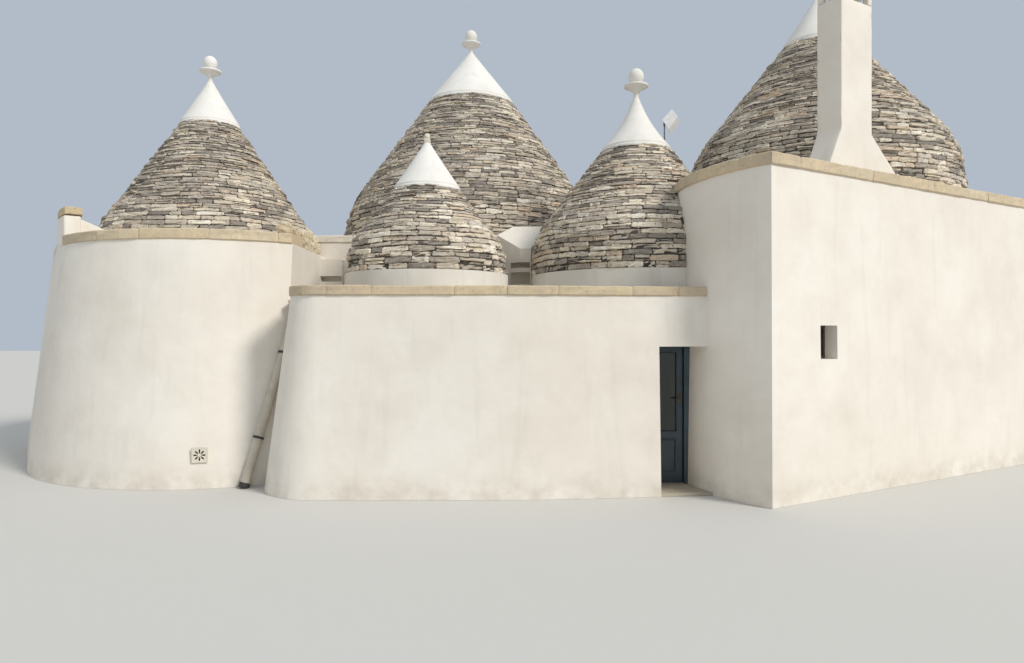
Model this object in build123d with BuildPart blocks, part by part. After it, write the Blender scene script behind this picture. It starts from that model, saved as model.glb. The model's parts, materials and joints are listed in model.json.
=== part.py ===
from build123d import *
import os
from math import atan2, cos, degrees, radians, sin, sqrt, tan

os.makedirs("parts", exist_ok=True)

# The house stands on the level z = 0. +X runs to the right of its front, +Y runs back.
# The origin is the middle of its plan. All lengths are millimetres, all angles degrees.

# Reach of the cutting shapes, larger than the house
far = 40000.0

# Floors, sill and the heights of the four blocks
floor_thickness = 40.0
west_deck_top = 3290.0
centre_deck_top = 2490.0
rear_deck_top = 3520.0
east_deck_top = 3980.0
deck_thickness = 250.0

# Coping and cornice stones round the decks
cornice_thickness = 150.0
coping_thickness = 130.0
kerb_width = 380.0
kerb_overhang = 35.0

# West block: a drum that runs back to the left
west_nose_x = -4990.0
west_nose_y = -890.0
west_base_radius = 2930.0
west_batter = 380.0
west_length = 2000.0
west_heading = 123.4
west_wall_thickness = 700.0
party_x = -3420.0
party_thickness = 700.0

# East block: a long straight front and a rounded flank
east_heading = 31.0
flank_centre_x = 4544.0
flank_centre_y = -3050.0
flank_radius = 2604.0
flank_angle = 44.05
east_front_length = 7406.0
east_depth = 5600.0
east_batter = 50.0
east_wall_thickness = 700.0

# Rear block, with a slanted wall between two roofs
rear_left_x = -3720.0
rear_right_x = 4280.0
rear_front_y = -1160.0
slant_start_x = -20.0
slant_heading = 41.7
slant_reach = 380.0
slant_inner_reach = 180.0
rear_wall_thickness = 600.0
rear_side_thickness = 700.0

# Centre block: a low front between the west and the east block
centre_left_batter = 380.0
centre_front_y = -4410.0
centre_front_batter = 180.0
centre_corner_radius = 800.0
centre_top_corner_radius = 430.0
centre_bend_x = -120.0
centre_bend_angle = 6.5
centre_bend_half = 700.0
centre_recess_gap = 19.4
centre_reach_left = 400.0
centre_reach_right = 780.0
centre_reach_back = 1800.0
centre_wall_thickness = 800.0
centre_left_wall_thickness = 700.0

# Doorway in the centre front, beside the east flank
door_left_x = 1525.0
door_reveal_y = -3600.0
door_height = 1855.0
frame_left_x = 1170.0
frame_post = 70.0
frame_depth = 100.0
frame_right_width = 210.0
leaf_width = 696.0
leaf_thickness = 40.0
leaf_gap = 6.0
leaf_free_gap = 8.0
leaf_floor_gap = 10.0
stile_width = 85.0
glass_bottom = 725.0
glass_thickness = 6.0
panel_recess = 10.0
handle_height = 1160.0
hinge_radius = 9.0
hinge_height = 90.0
hinge_levels = (260.0, 1000.0, 1640.0)
hinge_axis_gap = 3.0
hinge_knuckle_gap = 1.0
hinge_plate_start = 11.0
hinge_plate_width = 64.0
hinge_plate_thickness = 3.0
hinge_pin_radius = 5.0
hinge_pin_clearance = 0.05
hinge_lift = 0.3
kick_rail_height = 168.0
handle_plate_width = 38.0
handle_plate_height = 190.0
handle_plate_thickness = 4.0
handle_stand = 42.0
handle_lever = 105.0
handle_bar_radius = 8.0

# Archways between the rooms
arch_width = 900.0
arch_spring = 1450.0
west_arch_y = -2000.0
rear_arch_x = -1500.0
east_arch_y = -1500.0

# Small deep window in the east front
window_start = 893.0
window_width = 323.0
window_bottom = 1704.0
window_height = 413.0
window_depth = 200.0
window_frame = 35.0

# Cones: their places, their flanks from foot to head, their caps and their shells
cone_kerb_gap = 127.4
west_cone_along = 894.8
west_cone_side = 212.6
west_cone_fullness = 0.821
west_cone_shoulder = 830.0
west_cone_head = (470.0, 2390.0)
west_cap_height = 800.0
west_shell = 320.0
east_cone_along = 4440.0
east_cone_forward = 101.0
east_cone_gap = 19.0
east_cone_fullness = 0.858
east_cone_shoulder = 1396.0
east_cone_head = (560.0, 3100.0)
east_cap_height = 880.0
east_shell = 420.0
back_cone_along = 3835.6
back_cone_gap = 95.7
back_cone_radius = 1450.0
back_cone_fullness = 0.828
back_cone_shoulder = 640.0
back_cone_head = (430.0, 1770.0)
back_cap_height = 980.0
back_shell = 330.0
back_cone_setback = 135.5
great_cone_place = (-1130.0, 1290.0)
great_cone_radius = 2440.0
great_cone_fullness = 0.824
great_cone_shoulder = 1330.0
great_cone_head = (800.0, 3020.0)
great_cap_height = 1030.0
great_shell = 450.0
small_cone_place = (-1580.0, -2360.0)
small_cone_radius = 1160.0
small_cone_fullness = 0.692
small_cone_shoulder = 837.0
small_cone_head = (455.0, 1270.0)
small_cap_height = 700.0
small_shell = 330.0
door_cone_place = (1600.0, -1910.0)
door_cone_radius = 1600.0
door_cone_fullness = 0.875
door_cone_shoulder = 800.0
door_cone_head = (490.0, 1940.0)
door_cap_height = 825.0
door_cap_hollow = (0.41, 0.5)
door_shell = 350.0

# Domes inside the cones, plaster caps and finials
crown_thickness = 380.0
dome_top_radius = 180.0
dome_bulge = (0.66, 0.56)
cap_overhang = 25.0
cap_brim = 45.0
cap_tip_radius = 42.0
cap_hollow = (0.50, 0.5)
finial_neck = 40.0
finial_neck_radius = 35.0
finial_dish = 165.0
finial_dish_radius = 182.0
finial_rim = 34.0
finial_rim_bulge = 8.0
finial_dish_crown = 12.0
finial_ball_radius = 118.0
finial_ball_height = 256.0
finial_ball_seat = 60.0
finial_ball_sink = 12.0
rough_finial_width = 105.0
rough_finial_height = 150.0
finial_taper = 5.0

# Plastered rings under the two cones of the centre block
small_ring_top = 2880.0
door_ring_top = 2900.0
small_ring_radius = 1200.0
door_ring_radius = 1620.0

# Raised pier on the west wall
pier_start = -550.0
pier_length = 620.0
pier_width = 280.0
pier_top = 3865.0
pier_cap_thickness = 130.0
pier_cap_overhang = 25.0
shoulder_width = 620.0
shoulder_length = 300.0
shoulder_start = -300.0
shoulder_drop = 270.0
pier_cap_chamfer = 20.0

# Rain-water hopper and pipe between the west and the centre block
pipe_radius = 60.0
pipe_wall_gap = 41.0
pipe_foot_angle = -67.5
pipe_head_angle = -52.86
pipe_head_height = 2330.0
pipe_front_gap = 77.6
hopper_shift = (10.0, 20.0)
hopper_foot = (136.0, 230.0)
hopper_mouth = (170.0, 270.0)
hopper_height = 150.0
collar_height = 70.0
collar_thickness = 12.0
clip_levels = (0.24, 0.72)
clip_height = 30.0
clip_stem = 24.0

# Rosette vent low on the west nose
vent_angle = 282.0
vent_height = 436.0
vent_side = 200.0
vent_proud = 14.0

# Chimney on the east front
chimney_start = 1834.0
chimney_setback = 400.0
chimney_width = 672.0
chimney_depth = 380.0
chimney_wall = 90.0
chimney_top = 6500.0
chimney_cap_gap = 160.0
chimney_cap_thickness = 70.0
chimney_cap_overhang = 60.0
haunch_length = 600.0
haunch_height = 760.0
haunch_low = 250.0

# Small plastered blocks in the valleys behind the centre deck
valley_back_left = -300.0
valley_back_right = 205.0
valley_left = (-560.0, 200.0)
valley_front = (-190.0, -22.0)
valley_depth = 500.0
valley_block_top = 3787.0
valley_block_slope = 40.0
valley_slots = ((2806.0, 2996.0), (3063.0, 3154.0))
valley_slot_ends = (-340.0, -36.0)
valley_slot_depth = 250.0
left_valley_width = 360.0
left_valley_depth = 260.0
left_valley_top = 3220.0
left_valley_slot = (2863.0, 2952.0)
left_slot_margin = 8.0
left_slot_depth = 150.0

# Row of rough stones on the right edge of the west deck
edge_stone_width = 335.0
edge_stone_inset = 392.4
edge_stone_gap = 4.0
edge_stone_heights = (300.0, 340.0, 280.0, 330.0)
edge_stone_corner = 40.0
edge_stone_taper = 6.0
end_stone_size = (235.0, 218.0)
end_stone_height = 185.0
end_stone_taper = 9.0
end_stone_places = ((172.0, -53.0, 12.0), (402.8, -50.0, -8.0))

# Aerial on the east flank
aerial_x = 2345.0
aerial_y = -420.0
aerial_radius = 14.0
aerial_top = 5950.0
aerial_panel = 195.0
aerial_panel_shift = 100.0
aerial_panel_drop = 120.0
aerial_panel_thickness = 30.0


def offset_point(x, y, distance, heading):
    return (x + distance * cos(radians(heading)), y + distance * sin(radians(heading)))


def polygon(*points):
    Polygon(*points, align=None)


def prism(outline, bottom, top):
    """Upright solid on a plan outline."""
    with BuildPart() as solid:
        with BuildSketch(Plane.XY.offset(bottom)):
            outline()
        extrude(amount=top - bottom)
    return solid.part


def plan_zone(*points):
    return prism(lambda: polygon(*points), 0, far)


def battered_block(outline, height, batter):
    """Solid on a plan outline, whose faces lean in by batter over its height."""
    with BuildPart() as block:
        with BuildSketch():
            outline()
        extrude(amount=height, taper=degrees(atan2(batter, height)))
    return block.part


def course(block, bottom, top, *cuts):
    """The part of a block between two levels, less the cuts."""
    with BuildPart() as slice_of_block:
        add(block)
        with BuildSketch(Plane.XY.offset(bottom)):
            Rectangle(far, far)
        extrude(amount=top - bottom, mode=Mode.INTERSECT)
        for cut in cuts:
            add(cut, mode=Mode.SUBTRACT)
    return slice_of_block.part


def shared(block, zone):
    """The part of a block that lies in a zone."""
    with BuildPart() as part_in_zone:
        add(block)
        add(zone, mode=Mode.INTERSECT)
    return part_in_zone.part


def arch_cut(plane, thickness):
    """Round-headed passage through a wall, from the floor up, along the plane's normal."""
    with BuildPart() as passage:
        with BuildSketch(plane):
            with Locations((0, (floor_thickness + arch_spring) / 2)):
                Rectangle(arch_width, arch_spring - floor_thickness)
            with Locations((0, arch_spring)):
                Circle(arch_width / 2)
        extrude(amount=thickness / 2, both=True)
    return passage.part


def save(piece, label):
    piece.part.label = label
    export_step(piece.part, f"parts/{label}.step")


# Plan of the west block

west_middle = offset_point(west_nose_x, west_nose_y, west_length / 2, west_heading)
west_top_radius = west_base_radius - west_batter
west_room_radius = west_top_radius - west_wall_thickness
west_room_right = party_x - party_thickness
party_front_y = west_nose_y - sqrt(west_top_radius**2 - (party_x - west_nose_x) ** 2)
west_cone_place = offset_point(
    *offset_point(west_nose_x, west_nose_y, west_cone_along, west_heading),
    west_cone_side, west_heading + 90,
)
west_cone_radius = west_top_radius - west_cone_side - kerb_width - cone_kerb_gap
west_plane = Plane(
    origin=(west_nose_x, west_nose_y, 0),
    x_dir=(cos(radians(west_heading)), sin(radians(west_heading)), 0),
    z_dir=(0, 0, 1),
)


def beside_drum(angle, height, gap):
    """Point at a height, with a gap between it and the drum's leaning face."""
    face_radius = west_base_radius - west_batter * height / west_deck_top
    return (*offset_point(west_nose_x, west_nose_y, face_radius + gap, angle), height)


def west_slot(radius):
    with Locations(west_middle):
        SlotCenterToCenter(west_length, 2 * radius, rotation=west_heading)


def beside_west():
    polygon(
        (party_x, -far), (far, -far), (far, far),
        (rear_left_x, far), (rear_left_x, rear_front_y), (party_x, rear_front_y),
    )


def west_zone(start_x, end_x, start_y, end_y):
    """Box in the west block's own plan frame, x along it and y to its left."""
    with BuildPart() as zone:
        with BuildSketch(west_plane):
            polygon((start_x, start_y), (end_x, start_y), (end_x, end_y), (start_x, end_y))
        extrude(amount=far)
    return zone.part


west_side = prism(beside_west, 0, far)
west_block = battered_block(lambda: west_slot(west_base_radius), west_deck_top, west_batter)
west_block = west_block - west_side

# Plan of the east block

flank_x = flank_centre_x - flank_radius
east_corner = offset_point(flank_centre_x, flank_centre_y, flank_radius, 180 + flank_angle)
east_front_end = offset_point(*east_corner, east_front_length, east_heading)
east_back_end = offset_point(*east_front_end, east_depth, east_heading + 90)
east_back_run = (east_back_end[0] - flank_x) / cos(radians(east_heading))
east_back_corner = offset_point(*east_back_end, -east_back_run, east_heading)
east_plane = Plane(
    origin=(*east_corner, 0),
    x_dir=(cos(radians(east_heading)), sin(radians(east_heading)), 0),
    z_dir=(0, 0, 1),
)


def east_place(along, back):
    return offset_point(*offset_point(*east_corner, along, east_heading), back, east_heading + 90)


east_cone_place = east_place(east_cone_along, east_depth / 2 - east_cone_forward)
east_cone_radius = east_depth / 2 - east_cone_forward - east_batter - kerb_width - east_cone_gap
back_cone_place = east_place(back_cone_along, east_depth + back_cone_gap + back_cone_radius)
rear_back_y = back_cone_place[1] + back_cone_radius + back_cone_setback


def east_outline(inset=0.0):
    with BuildLine() as plan:
        flank = CenterArc((flank_centre_x, flank_centre_y), flank_radius, 180, flank_angle)
        Polyline(flank @ 1, east_front_end, east_back_end, east_back_corner, flank @ 0)
    make_face(plan.edges())
    if inset:
        offset(amount=-inset, kind=Kind.INTERSECTION, mode=Mode.REPLACE)


def east_zone(start_x, end_x, start_y, end_y):
    """Box in the east block's own plan frame, x along its front and y into it."""
    with BuildPart() as zone:
        with BuildSketch(east_plane):
            polygon((start_x, start_y), (end_x, start_y), (end_x, end_y), (start_x, end_y))
        extrude(amount=far)
    return zone.part


east_block = battered_block(east_outline, east_deck_top, east_batter)
east_room_inset = east_batter + east_wall_thickness

# Plan of the rear block

slant_slope = tan(radians(slant_heading))
slant_end_x = flank_x + slant_reach
slant_end_y = rear_front_y + (slant_end_x - slant_start_x) * slant_slope
slant_inner_shift = rear_wall_thickness / cos(radians(slant_heading))
slant_inner_y = rear_front_y + rear_wall_thickness
slant_inner_x = slant_start_x + (rear_wall_thickness - slant_inner_shift) / slant_slope
slant_inner_end_x = flank_x + slant_inner_reach
slant_inner_end_y = slant_inner_y + (slant_inner_end_x - slant_inner_x) * slant_slope
rear_room_left = rear_left_x + rear_side_thickness
rear_room_right = rear_right_x - rear_wall_thickness
rear_room_back = rear_back_y - rear_wall_thickness


def rear_outline():
    polygon(
        (rear_left_x, rear_front_y), (slant_start_x, rear_front_y),
        (slant_end_x, slant_end_y), (rear_right_x, slant_end_y),
        (rear_right_x, rear_back_y), (rear_left_x, rear_back_y),
    )


def rear_room():
    polygon(
        (rear_room_left, slant_inner_y), (slant_inner_x, slant_inner_y),
        (slant_inner_end_x, slant_inner_end_y), (slant_inner_end_x, slant_end_y),
        (rear_room_right, slant_end_y), (rear_room_right, rear_room_back),
        (rear_room_left, rear_room_back),
    )


rear_block = prism(rear_outline, 0, rear_deck_top) - east_block

# Plan of the centre block, which leaves room for the pipe beside the west block

pipe_foot = beside_drum(pipe_foot_angle, 0, pipe_radius + pipe_wall_gap)
pipe_head = beside_drum(pipe_head_angle, pipe_head_height, pipe_radius + pipe_wall_gap)
centre_left_x = (
    pipe_head[0] + pipe_radius + pipe_front_gap
    - centre_left_batter * pipe_head_height / centre_deck_top
)
centre_recess_y = party_front_y + centre_recess_gap
centre_start_x = party_x - centre_reach_left
centre_end_x = flank_x + centre_reach_right
centre_back_y = rear_front_y + centre_reach_back


def centre_outline(left_x, front_y, corner_radius):
    """Plan of the block: a recess beside the west block, a round corner and a soft bend."""
    bend_start = (centre_bend_x - centre_bend_half, front_y)
    bend_end = offset_point(centre_bend_x, front_y, centre_bend_half, centre_bend_angle)
    bend_radius = centre_bend_half / tan(radians(centre_bend_angle / 2))
    end_y = front_y + (centre_end_x - centre_bend_x) * tan(radians(centre_bend_angle))
    with BuildLine() as plan:
        side = Polyline(
            (centre_start_x, centre_back_y), (centre_start_x, centre_recess_y),
            (left_x, centre_recess_y), (left_x, front_y + corner_radius),
        )
        corner = RadiusArc(side @ 1, (left_x + corner_radius, front_y), -corner_radius)
        Line(corner @ 1, bend_start)
        RadiusArc(bend_start, bend_end, -bend_radius)
        Polyline(bend_end, (centre_end_x, end_y), (centre_end_x, centre_back_y), side @ 0)
    make_face(plan.edges())


centre_top_left = centre_left_x + centre_left_batter
centre_top_front = centre_front_y + centre_front_batter
centre_room_front = centre_top_front + centre_wall_thickness
centre_room_left = party_x + centre_left_wall_thickness

with BuildPart() as centre_body:
    with BuildSketch():
        centre_outline(centre_left_x, centre_front_y, centre_corner_radius)
    with BuildSketch(Plane.XY.offset(centre_deck_top)):
        centre_outline(centre_top_left, centre_top_front, centre_top_corner_radius)
    loft(ruled=True)
    for neighbour in (west_block, east_block, rear_block):
        add(neighbour, mode=Mode.SUBTRACT)
centre_block = centre_body.part


def centre_room():
    end_y = centre_room_front + (centre_end_x - centre_bend_x) * tan(radians(centre_bend_angle))
    polygon(
        (centre_room_left, centre_room_front), (centre_bend_x, centre_room_front),
        (centre_end_x, end_y), (centre_end_x, centre_back_y), (centre_room_left, centre_back_y),
    )


# The six cones: place, foot, outline and the radius of the room below

class Cone:
    """One roof cone: where it stands and the outline that it is turned from."""

    def __init__(
        self, place, base, radius, fullness, shoulder_height, head, cap_height, shell,
        hollow=cap_hollow,
    ):
        self.x, self.y = place
        self.base = base
        self.radius = radius
        self.shoulder = (radius * fullness, shoulder_height)
        self.head = head
        self.cap_height = cap_height
        self.hollow = hollow
        self.inner_radius = radius - shell

    @property
    def centre(self):
        return (self.x, self.y)

    @property
    def cap_base(self):
        return self.base + self.head[1]

    @property
    def plane(self):
        return Plane(origin=(self.x, self.y, self.base), x_dir=(1, 0, 0), z_dir=(0, -1, 0))

    @property
    def axis(self):
        return Axis((self.x, self.y, self.base), (0, 0, 1))

    def foot(self, radius, bottom, top):
        """Upright drum on the cone's axis."""
        with BuildPart() as drum:
            with BuildSketch(Plane.XY.offset(bottom)):
                with Locations(self.centre):
                    Circle(radius)
            extrude(amount=top - bottom)
        return drum.part

    def shell(self):
        """Hollow cone: bulging foot, straight upper part and a corbelled dome inside."""
        dome_height = self.head[1] - crown_thickness
        flank = (self.head[0] - self.shoulder[0], self.head[1] - self.shoulder[1])
        with BuildPart() as body:
            with BuildSketch(self.plane):
                with BuildLine():
                    foot_curve = Spline((self.radius, 0), self.shoulder, tangents=[(0, 1), flank])
                    dome = ThreePointArc(
                        (self.inner_radius, 0),
                        (self.inner_radius * dome_bulge[0], dome_height * dome_bulge[1]),
                        (dome_top_radius, dome_height),
                    )
                    Polyline(foot_curve @ 1, self.head, (0, self.head[1]), (0, dome_height), dome @ 1)
                    Line(dome @ 0, foot_curve @ 0)
                make_face()
            revolve(axis=self.axis)
        return body.part

    def cap(self):
        """Plastered cap with a hollow flank, which draws in to a thin tip."""
        brim = self.head[0] + cap_overhang
        with BuildPart() as body:
            with BuildSketch(self.plane):
                with BuildLine():
                    flare = ThreePointArc(
                        (brim, self.head[1] + cap_brim),
                        (brim * self.hollow[0], self.head[1] + cap_brim + self.cap_height * self.hollow[1]),
                        (cap_tip_radius, self.head[1] + self.cap_height),
                    )
                    Polyline(
                        flare @ 1, (0, self.head[1] + self.cap_height), (0, self.head[1]),
                        (brim, self.head[1]), flare @ 0,
                    )
                make_face()
            revolve(axis=self.axis)
        return body.part

    def finial(self):
        """Neck that flares into a dish, with a ball on it, on the tip of the cap."""
        foot = self.head[1] + self.cap_height
        dish = foot + finial_dish
        rim_top = dish + finial_rim
        seat = rim_top + finial_dish_crown
        with BuildPart() as body:
            with BuildSketch(self.plane):
                with BuildLine():
                    flare = Spline(
                        (cap_tip_radius, foot), (finial_neck_radius, foot + finial_neck),
                        (finial_dish_radius, dish), tangents=[(-cap_tip_radius, 2 * finial_neck), (2, 1)],
                    )
                    rim = ThreePointArc(
                        flare @ 1, (finial_dish_radius + finial_rim_bulge, dish + finial_rim / 2),
                        (finial_dish_radius, rim_top),
                    )
                    Polyline(rim @ 1, (finial_ball_seat, seat), (0, seat), (0, foot), flare @ 0)
                make_face()
                with Locations((0, seat - finial_ball_sink + finial_ball_height / 2)):
                    Ellipse(finial_ball_radius, finial_ball_height / 2)
                with Locations((-finial_dish_radius, seat)):
                    Rectangle(2 * finial_dish_radius, 2 * finial_ball_height, mode=Mode.SUBTRACT)
            revolve(axis=self.axis)
        return body.part


west_cone = Cone(
    west_cone_place, west_deck_top, west_cone_radius, west_cone_fullness,
    west_cone_shoulder, west_cone_head, west_cap_height, west_shell,
)
small_cone = Cone(
    small_cone_place, small_ring_top, small_cone_radius, small_cone_fullness,
    small_cone_shoulder, small_cone_head, small_cap_height, small_shell,
)
great_cone = Cone(
    great_cone_place, rear_deck_top, great_cone_radius, great_cone_fullness,
    great_cone_shoulder, great_cone_head, great_cap_height, great_shell,
)
door_cone = Cone(
    door_cone_place, door_ring_top, door_cone_radius, door_cone_fullness,
    door_cone_shoulder, door_cone_head, door_cap_height, door_shell, door_cap_hollow,
)
east_cone = Cone(
    east_cone_place, east_deck_top, east_cone_radius, east_cone_fullness,
    east_cone_shoulder, east_cone_head, east_cap_height, east_shell,
)
back_cone = Cone(
    back_cone_place, rear_deck_top, back_cone_radius, back_cone_fullness,
    back_cone_shoulder, back_cone_head, back_cap_height, back_shell,
)
cones = (west_cone, small_cone, great_cone, door_cone, east_cone, back_cone)

# West block

west_wall_top = west_deck_top - deck_thickness
west_room_side = plan_zone(
    (west_room_right, -far), (far, -far), (far, far), (west_room_right, far),
)
west_room = prism(lambda: west_slot(west_room_radius), 0, west_wall_top) - west_room_side
west_ring = course(west_block, 0, west_wall_top, west_room)
west_outer_ring = west_ring - west_room_side

west_arch = arch_cut(
    Plane(origin=(party_x, west_arch_y, 0), x_dir=(0, 1, 0), z_dir=(1, 0, 0)),
    2 * (party_thickness + centre_left_wall_thickness),
)

with BuildPart() as west_nose_wall:
    add(west_outer_ring)
    add(west_zone(-far, 0, -far, far), mode=Mode.INTERSECT)
save(west_nose_wall, "west_nose_wall")

with BuildPart() as west_outer_wall:
    add(west_outer_ring)
    add(west_zone(-far, 0, -far, far), mode=Mode.SUBTRACT)
save(west_outer_wall, "west_outer_wall")

with BuildPart() as west_party_wall:
    add(west_ring)
    add(west_room_side, mode=Mode.INTERSECT)
    add(west_arch, mode=Mode.SUBTRACT)
save(west_party_wall, "west_party_wall")

with BuildPart() as west_roof_deck:
    add(course(west_block, west_wall_top, west_deck_top))
    add(west_cone.foot(west_cone.inner_radius, 0, far), mode=Mode.SUBTRACT)
save(west_roof_deck, "west_roof_deck")

over_drum = prism(lambda: west_slot(west_top_radius), west_deck_top, far)
pier_outer = west_top_radius
pier_inner = pier_outer - pier_width
pier_end = pier_start + pier_length
pier_cap_bottom = pier_top - pier_cap_thickness

with BuildPart() as west_pier:
    with BuildSketch(west_plane.offset(west_deck_top)):
        polygon(
            (pier_start, pier_inner), (pier_end, pier_inner),
            (pier_end, pier_outer), (pier_start, pier_outer),
        )
    extrude(amount=pier_cap_bottom - west_deck_top)
    shoulder_plane = Plane(
        origin=(*offset_point(west_nose_x, west_nose_y, shoulder_start, west_heading), west_deck_top),
        x_dir=(cos(radians(west_heading + 90)), sin(radians(west_heading + 90)), 0),
        z_dir=(cos(radians(west_heading)), sin(radians(west_heading)), 0),
    )
    shoulder_height = pier_cap_bottom - west_deck_top
    with BuildSketch(shoulder_plane):
        polygon(
            (pier_inner, 0), (pier_inner, shoulder_height),
            (pier_inner - shoulder_width, shoulder_height - shoulder_drop),
            (pier_inner - shoulder_width, 0),
        )
    extrude(amount=shoulder_length)
    add(west_cone.foot(west_cone.radius, 0, far), mode=Mode.SUBTRACT)
    add(over_drum, mode=Mode.INTERSECT)
save(west_pier, "west_pier")

with BuildPart() as west_pier_cap:
    with BuildSketch(west_plane.offset(pier_cap_bottom)):
        polygon(
            (pier_start - pier_cap_overhang, pier_inner - pier_cap_overhang),
            (pier_end + pier_cap_overhang, pier_inner - pier_cap_overhang),
            (pier_end + pier_cap_overhang, pier_outer),
            (pier_start - pier_cap_overhang, pier_outer),
        )
    extrude(amount=pier_cap_thickness)
    add(over_drum, mode=Mode.INTERSECT)
    chamfer(west_pier_cap.edges().group_by(Axis.Z)[-1], length=pier_cap_chamfer)
save(west_pier_cap, "west_pier_cap")

with BuildPart() as west_cornice:
    with BuildSketch(Plane.XY.offset(west_deck_top)):
        west_slot(west_top_radius + kerb_overhang)
        with Locations(west_middle):
            SlotCenterToCenter(
                west_length, 2 * (west_top_radius - kerb_width),
                rotation=west_heading, mode=Mode.SUBTRACT,
            )
    extrude(amount=cornice_thickness)
    add(west_side, mode=Mode.SUBTRACT)
    add(west_zone(pier_start, pier_end, pier_inner, far), mode=Mode.SUBTRACT)
    add(west_pier.part, mode=Mode.SUBTRACT)
save(west_cornice, "west_cornice")

edge_stone_right = party_x - edge_stone_gap
edge_stone_start = west_nose_y - sqrt(
    (west_top_radius - edge_stone_inset) ** 2 - (party_x - west_nose_x) ** 2
)
edge_stone_end = rear_front_y - kerb_overhang
edge_stone_pitch = (edge_stone_end - edge_stone_start) / len(edge_stone_heights)
edge_stone_depth = edge_stone_pitch - edge_stone_gap

with BuildPart() as edge_stones:
    for number, height in enumerate(edge_stone_heights):
        stone_y = edge_stone_start + edge_stone_pitch * (number + 0.5)
        with BuildSketch(Plane.XY.offset(west_deck_top)):
            with Locations((edge_stone_right - edge_stone_width / 2, stone_y)):
                RectangleRounded(edge_stone_width, edge_stone_depth, edge_stone_corner)
        extrude(amount=height, taper=edge_stone_taper)
    for stone_inset, angle, turn in end_stone_places:
        stone_place = offset_point(west_nose_x, west_nose_y, west_top_radius - stone_inset, angle)
        with BuildSketch(Plane.XY.offset(west_deck_top + cornice_thickness)):
            with Locations(Location((*stone_place, 0), (0, 0, turn))):
                RectangleRounded(*end_stone_size, edge_stone_corner)
        extrude(amount=end_stone_height, taper=end_stone_taper)
save(edge_stones, "edge_stones")

with BuildPart() as west_cone_shell:
    add(west_cone.shell())
save(west_cone_shell, "west_cone")

# East block

east_wall_top = east_deck_top - deck_thickness
east_room = prism(lambda: east_outline(east_room_inset), 0, east_wall_top)
east_ring = course(east_block, 0, east_wall_top, east_room)
east_far_side = east_front_length - east_room_inset
east_far_back = east_depth - east_room_inset

east_arch = arch_cut(
    Plane(origin=(flank_x, east_arch_y, 0), x_dir=(0, 1, 0), z_dir=(1, 0, 0)),
    4 * east_room_inset,
)

window_plane = Plane(
    origin=(*east_corner, 0),
    x_dir=(cos(radians(east_heading)), sin(radians(east_heading)), 0),
    z_dir=(sin(radians(east_heading)), -cos(radians(east_heading)), 0),
)


def window_rectangle(margin=0.0, mode=Mode.ADD):
    with Locations((window_start + window_width / 2, window_bottom + window_height / 2)):
        Rectangle(window_width - 2 * margin, window_height - 2 * margin, mode=mode)


with BuildPart() as east_front_wall:
    add(east_ring)
    add(east_zone(-far, far, -far, east_room_inset), mode=Mode.INTERSECT)
    with BuildSketch(window_plane):
        window_rectangle()
    extrude(amount=-far, mode=Mode.SUBTRACT)
save(east_front_wall, "east_front_wall")

with BuildPart() as east_outer_wall:
    add(east_ring)
    add(east_zone(-far, far, -far, east_room_inset), mode=Mode.SUBTRACT)
    add(east_zone(-far, east_far_side, -far, east_far_back), mode=Mode.SUBTRACT)
save(east_outer_wall, "east_outer_wall")

with BuildPart() as east_flank_wall:
    add(east_ring)
    add(east_zone(-far, east_far_side, east_room_inset, east_far_back), mode=Mode.INTERSECT)
    add(east_arch, mode=Mode.SUBTRACT)
save(east_flank_wall, "east_flank_wall")

with BuildPart() as east_window:
    with BuildSketch(window_plane.offset(-window_depth)):
        window_rectangle()
        window_rectangle(window_frame, Mode.SUBTRACT)
    extrude(amount=-window_frame)
    with BuildSketch(window_plane.offset(-window_depth - window_frame / 2)):
        window_rectangle(window_frame)
    extrude(amount=-glass_thickness)
save(east_window, "east_window")

with BuildPart() as east_roof_deck:
    add(course(east_block, east_wall_top, east_deck_top))
    add(east_cone.foot(east_cone.inner_radius, 0, far), mode=Mode.SUBTRACT)
save(east_roof_deck, "east_roof_deck")

with BuildPart() as east_cornice:
    with BuildSketch(Plane.XY.offset(east_deck_top)):
        east_outline(east_batter - kerb_overhang)
    extrude(amount=cornice_thickness)
    with BuildSketch(Plane.XY.offset(east_deck_top)):
        east_outline(east_batter + kerb_width)
    extrude(amount=cornice_thickness, mode=Mode.SUBTRACT)
save(east_cornice, "east_cornice")

with BuildPart() as east_cone_shell:
    add(east_cone.shell())
save(east_cone_shell, "east_cone")

chimney_end = chimney_start + chimney_width
chimney_back = chimney_setback + chimney_depth
chimney_middle = (chimney_start + chimney_width / 2, chimney_setback + chimney_depth / 2)
shaft_base = east_deck_top

haunch_plane = Plane(
    origin=(*offset_point(*east_corner, chimney_back, east_heading + 90), shaft_base),
    x_dir=(cos(radians(east_heading)), sin(radians(east_heading)), 0),
    z_dir=(sin(radians(east_heading)), -cos(radians(east_heading)), 0),
)

with BuildPart() as chimney:
    with BuildSketch(east_plane.offset(shaft_base)):
        with Locations(chimney_middle):
            Rectangle(chimney_width, chimney_depth)
    extrude(amount=chimney_top - shaft_base)
    with BuildSketch(haunch_plane):
        polygon(
            (chimney_start - haunch_low, 0), (chimney_start - haunch_low, haunch_low),
            (chimney_start, haunch_height), (chimney_end, haunch_height),
            (chimney_end + haunch_length, haunch_low), (chimney_end + haunch_length, 0),
        )
    extrude(amount=chimney_depth)
    with BuildSketch(east_plane.offset(shaft_base)):
        with Locations(chimney_middle):
            Rectangle(chimney_width - 2 * chimney_wall, chimney_depth - 2 * chimney_wall)
    extrude(amount=chimney_top - shaft_base, mode=Mode.SUBTRACT)
    add(east_cornice.part, mode=Mode.SUBTRACT)
    add(east_cone.foot(east_cone.radius, 0, far), mode=Mode.SUBTRACT)
save(chimney, "chimney")

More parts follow.
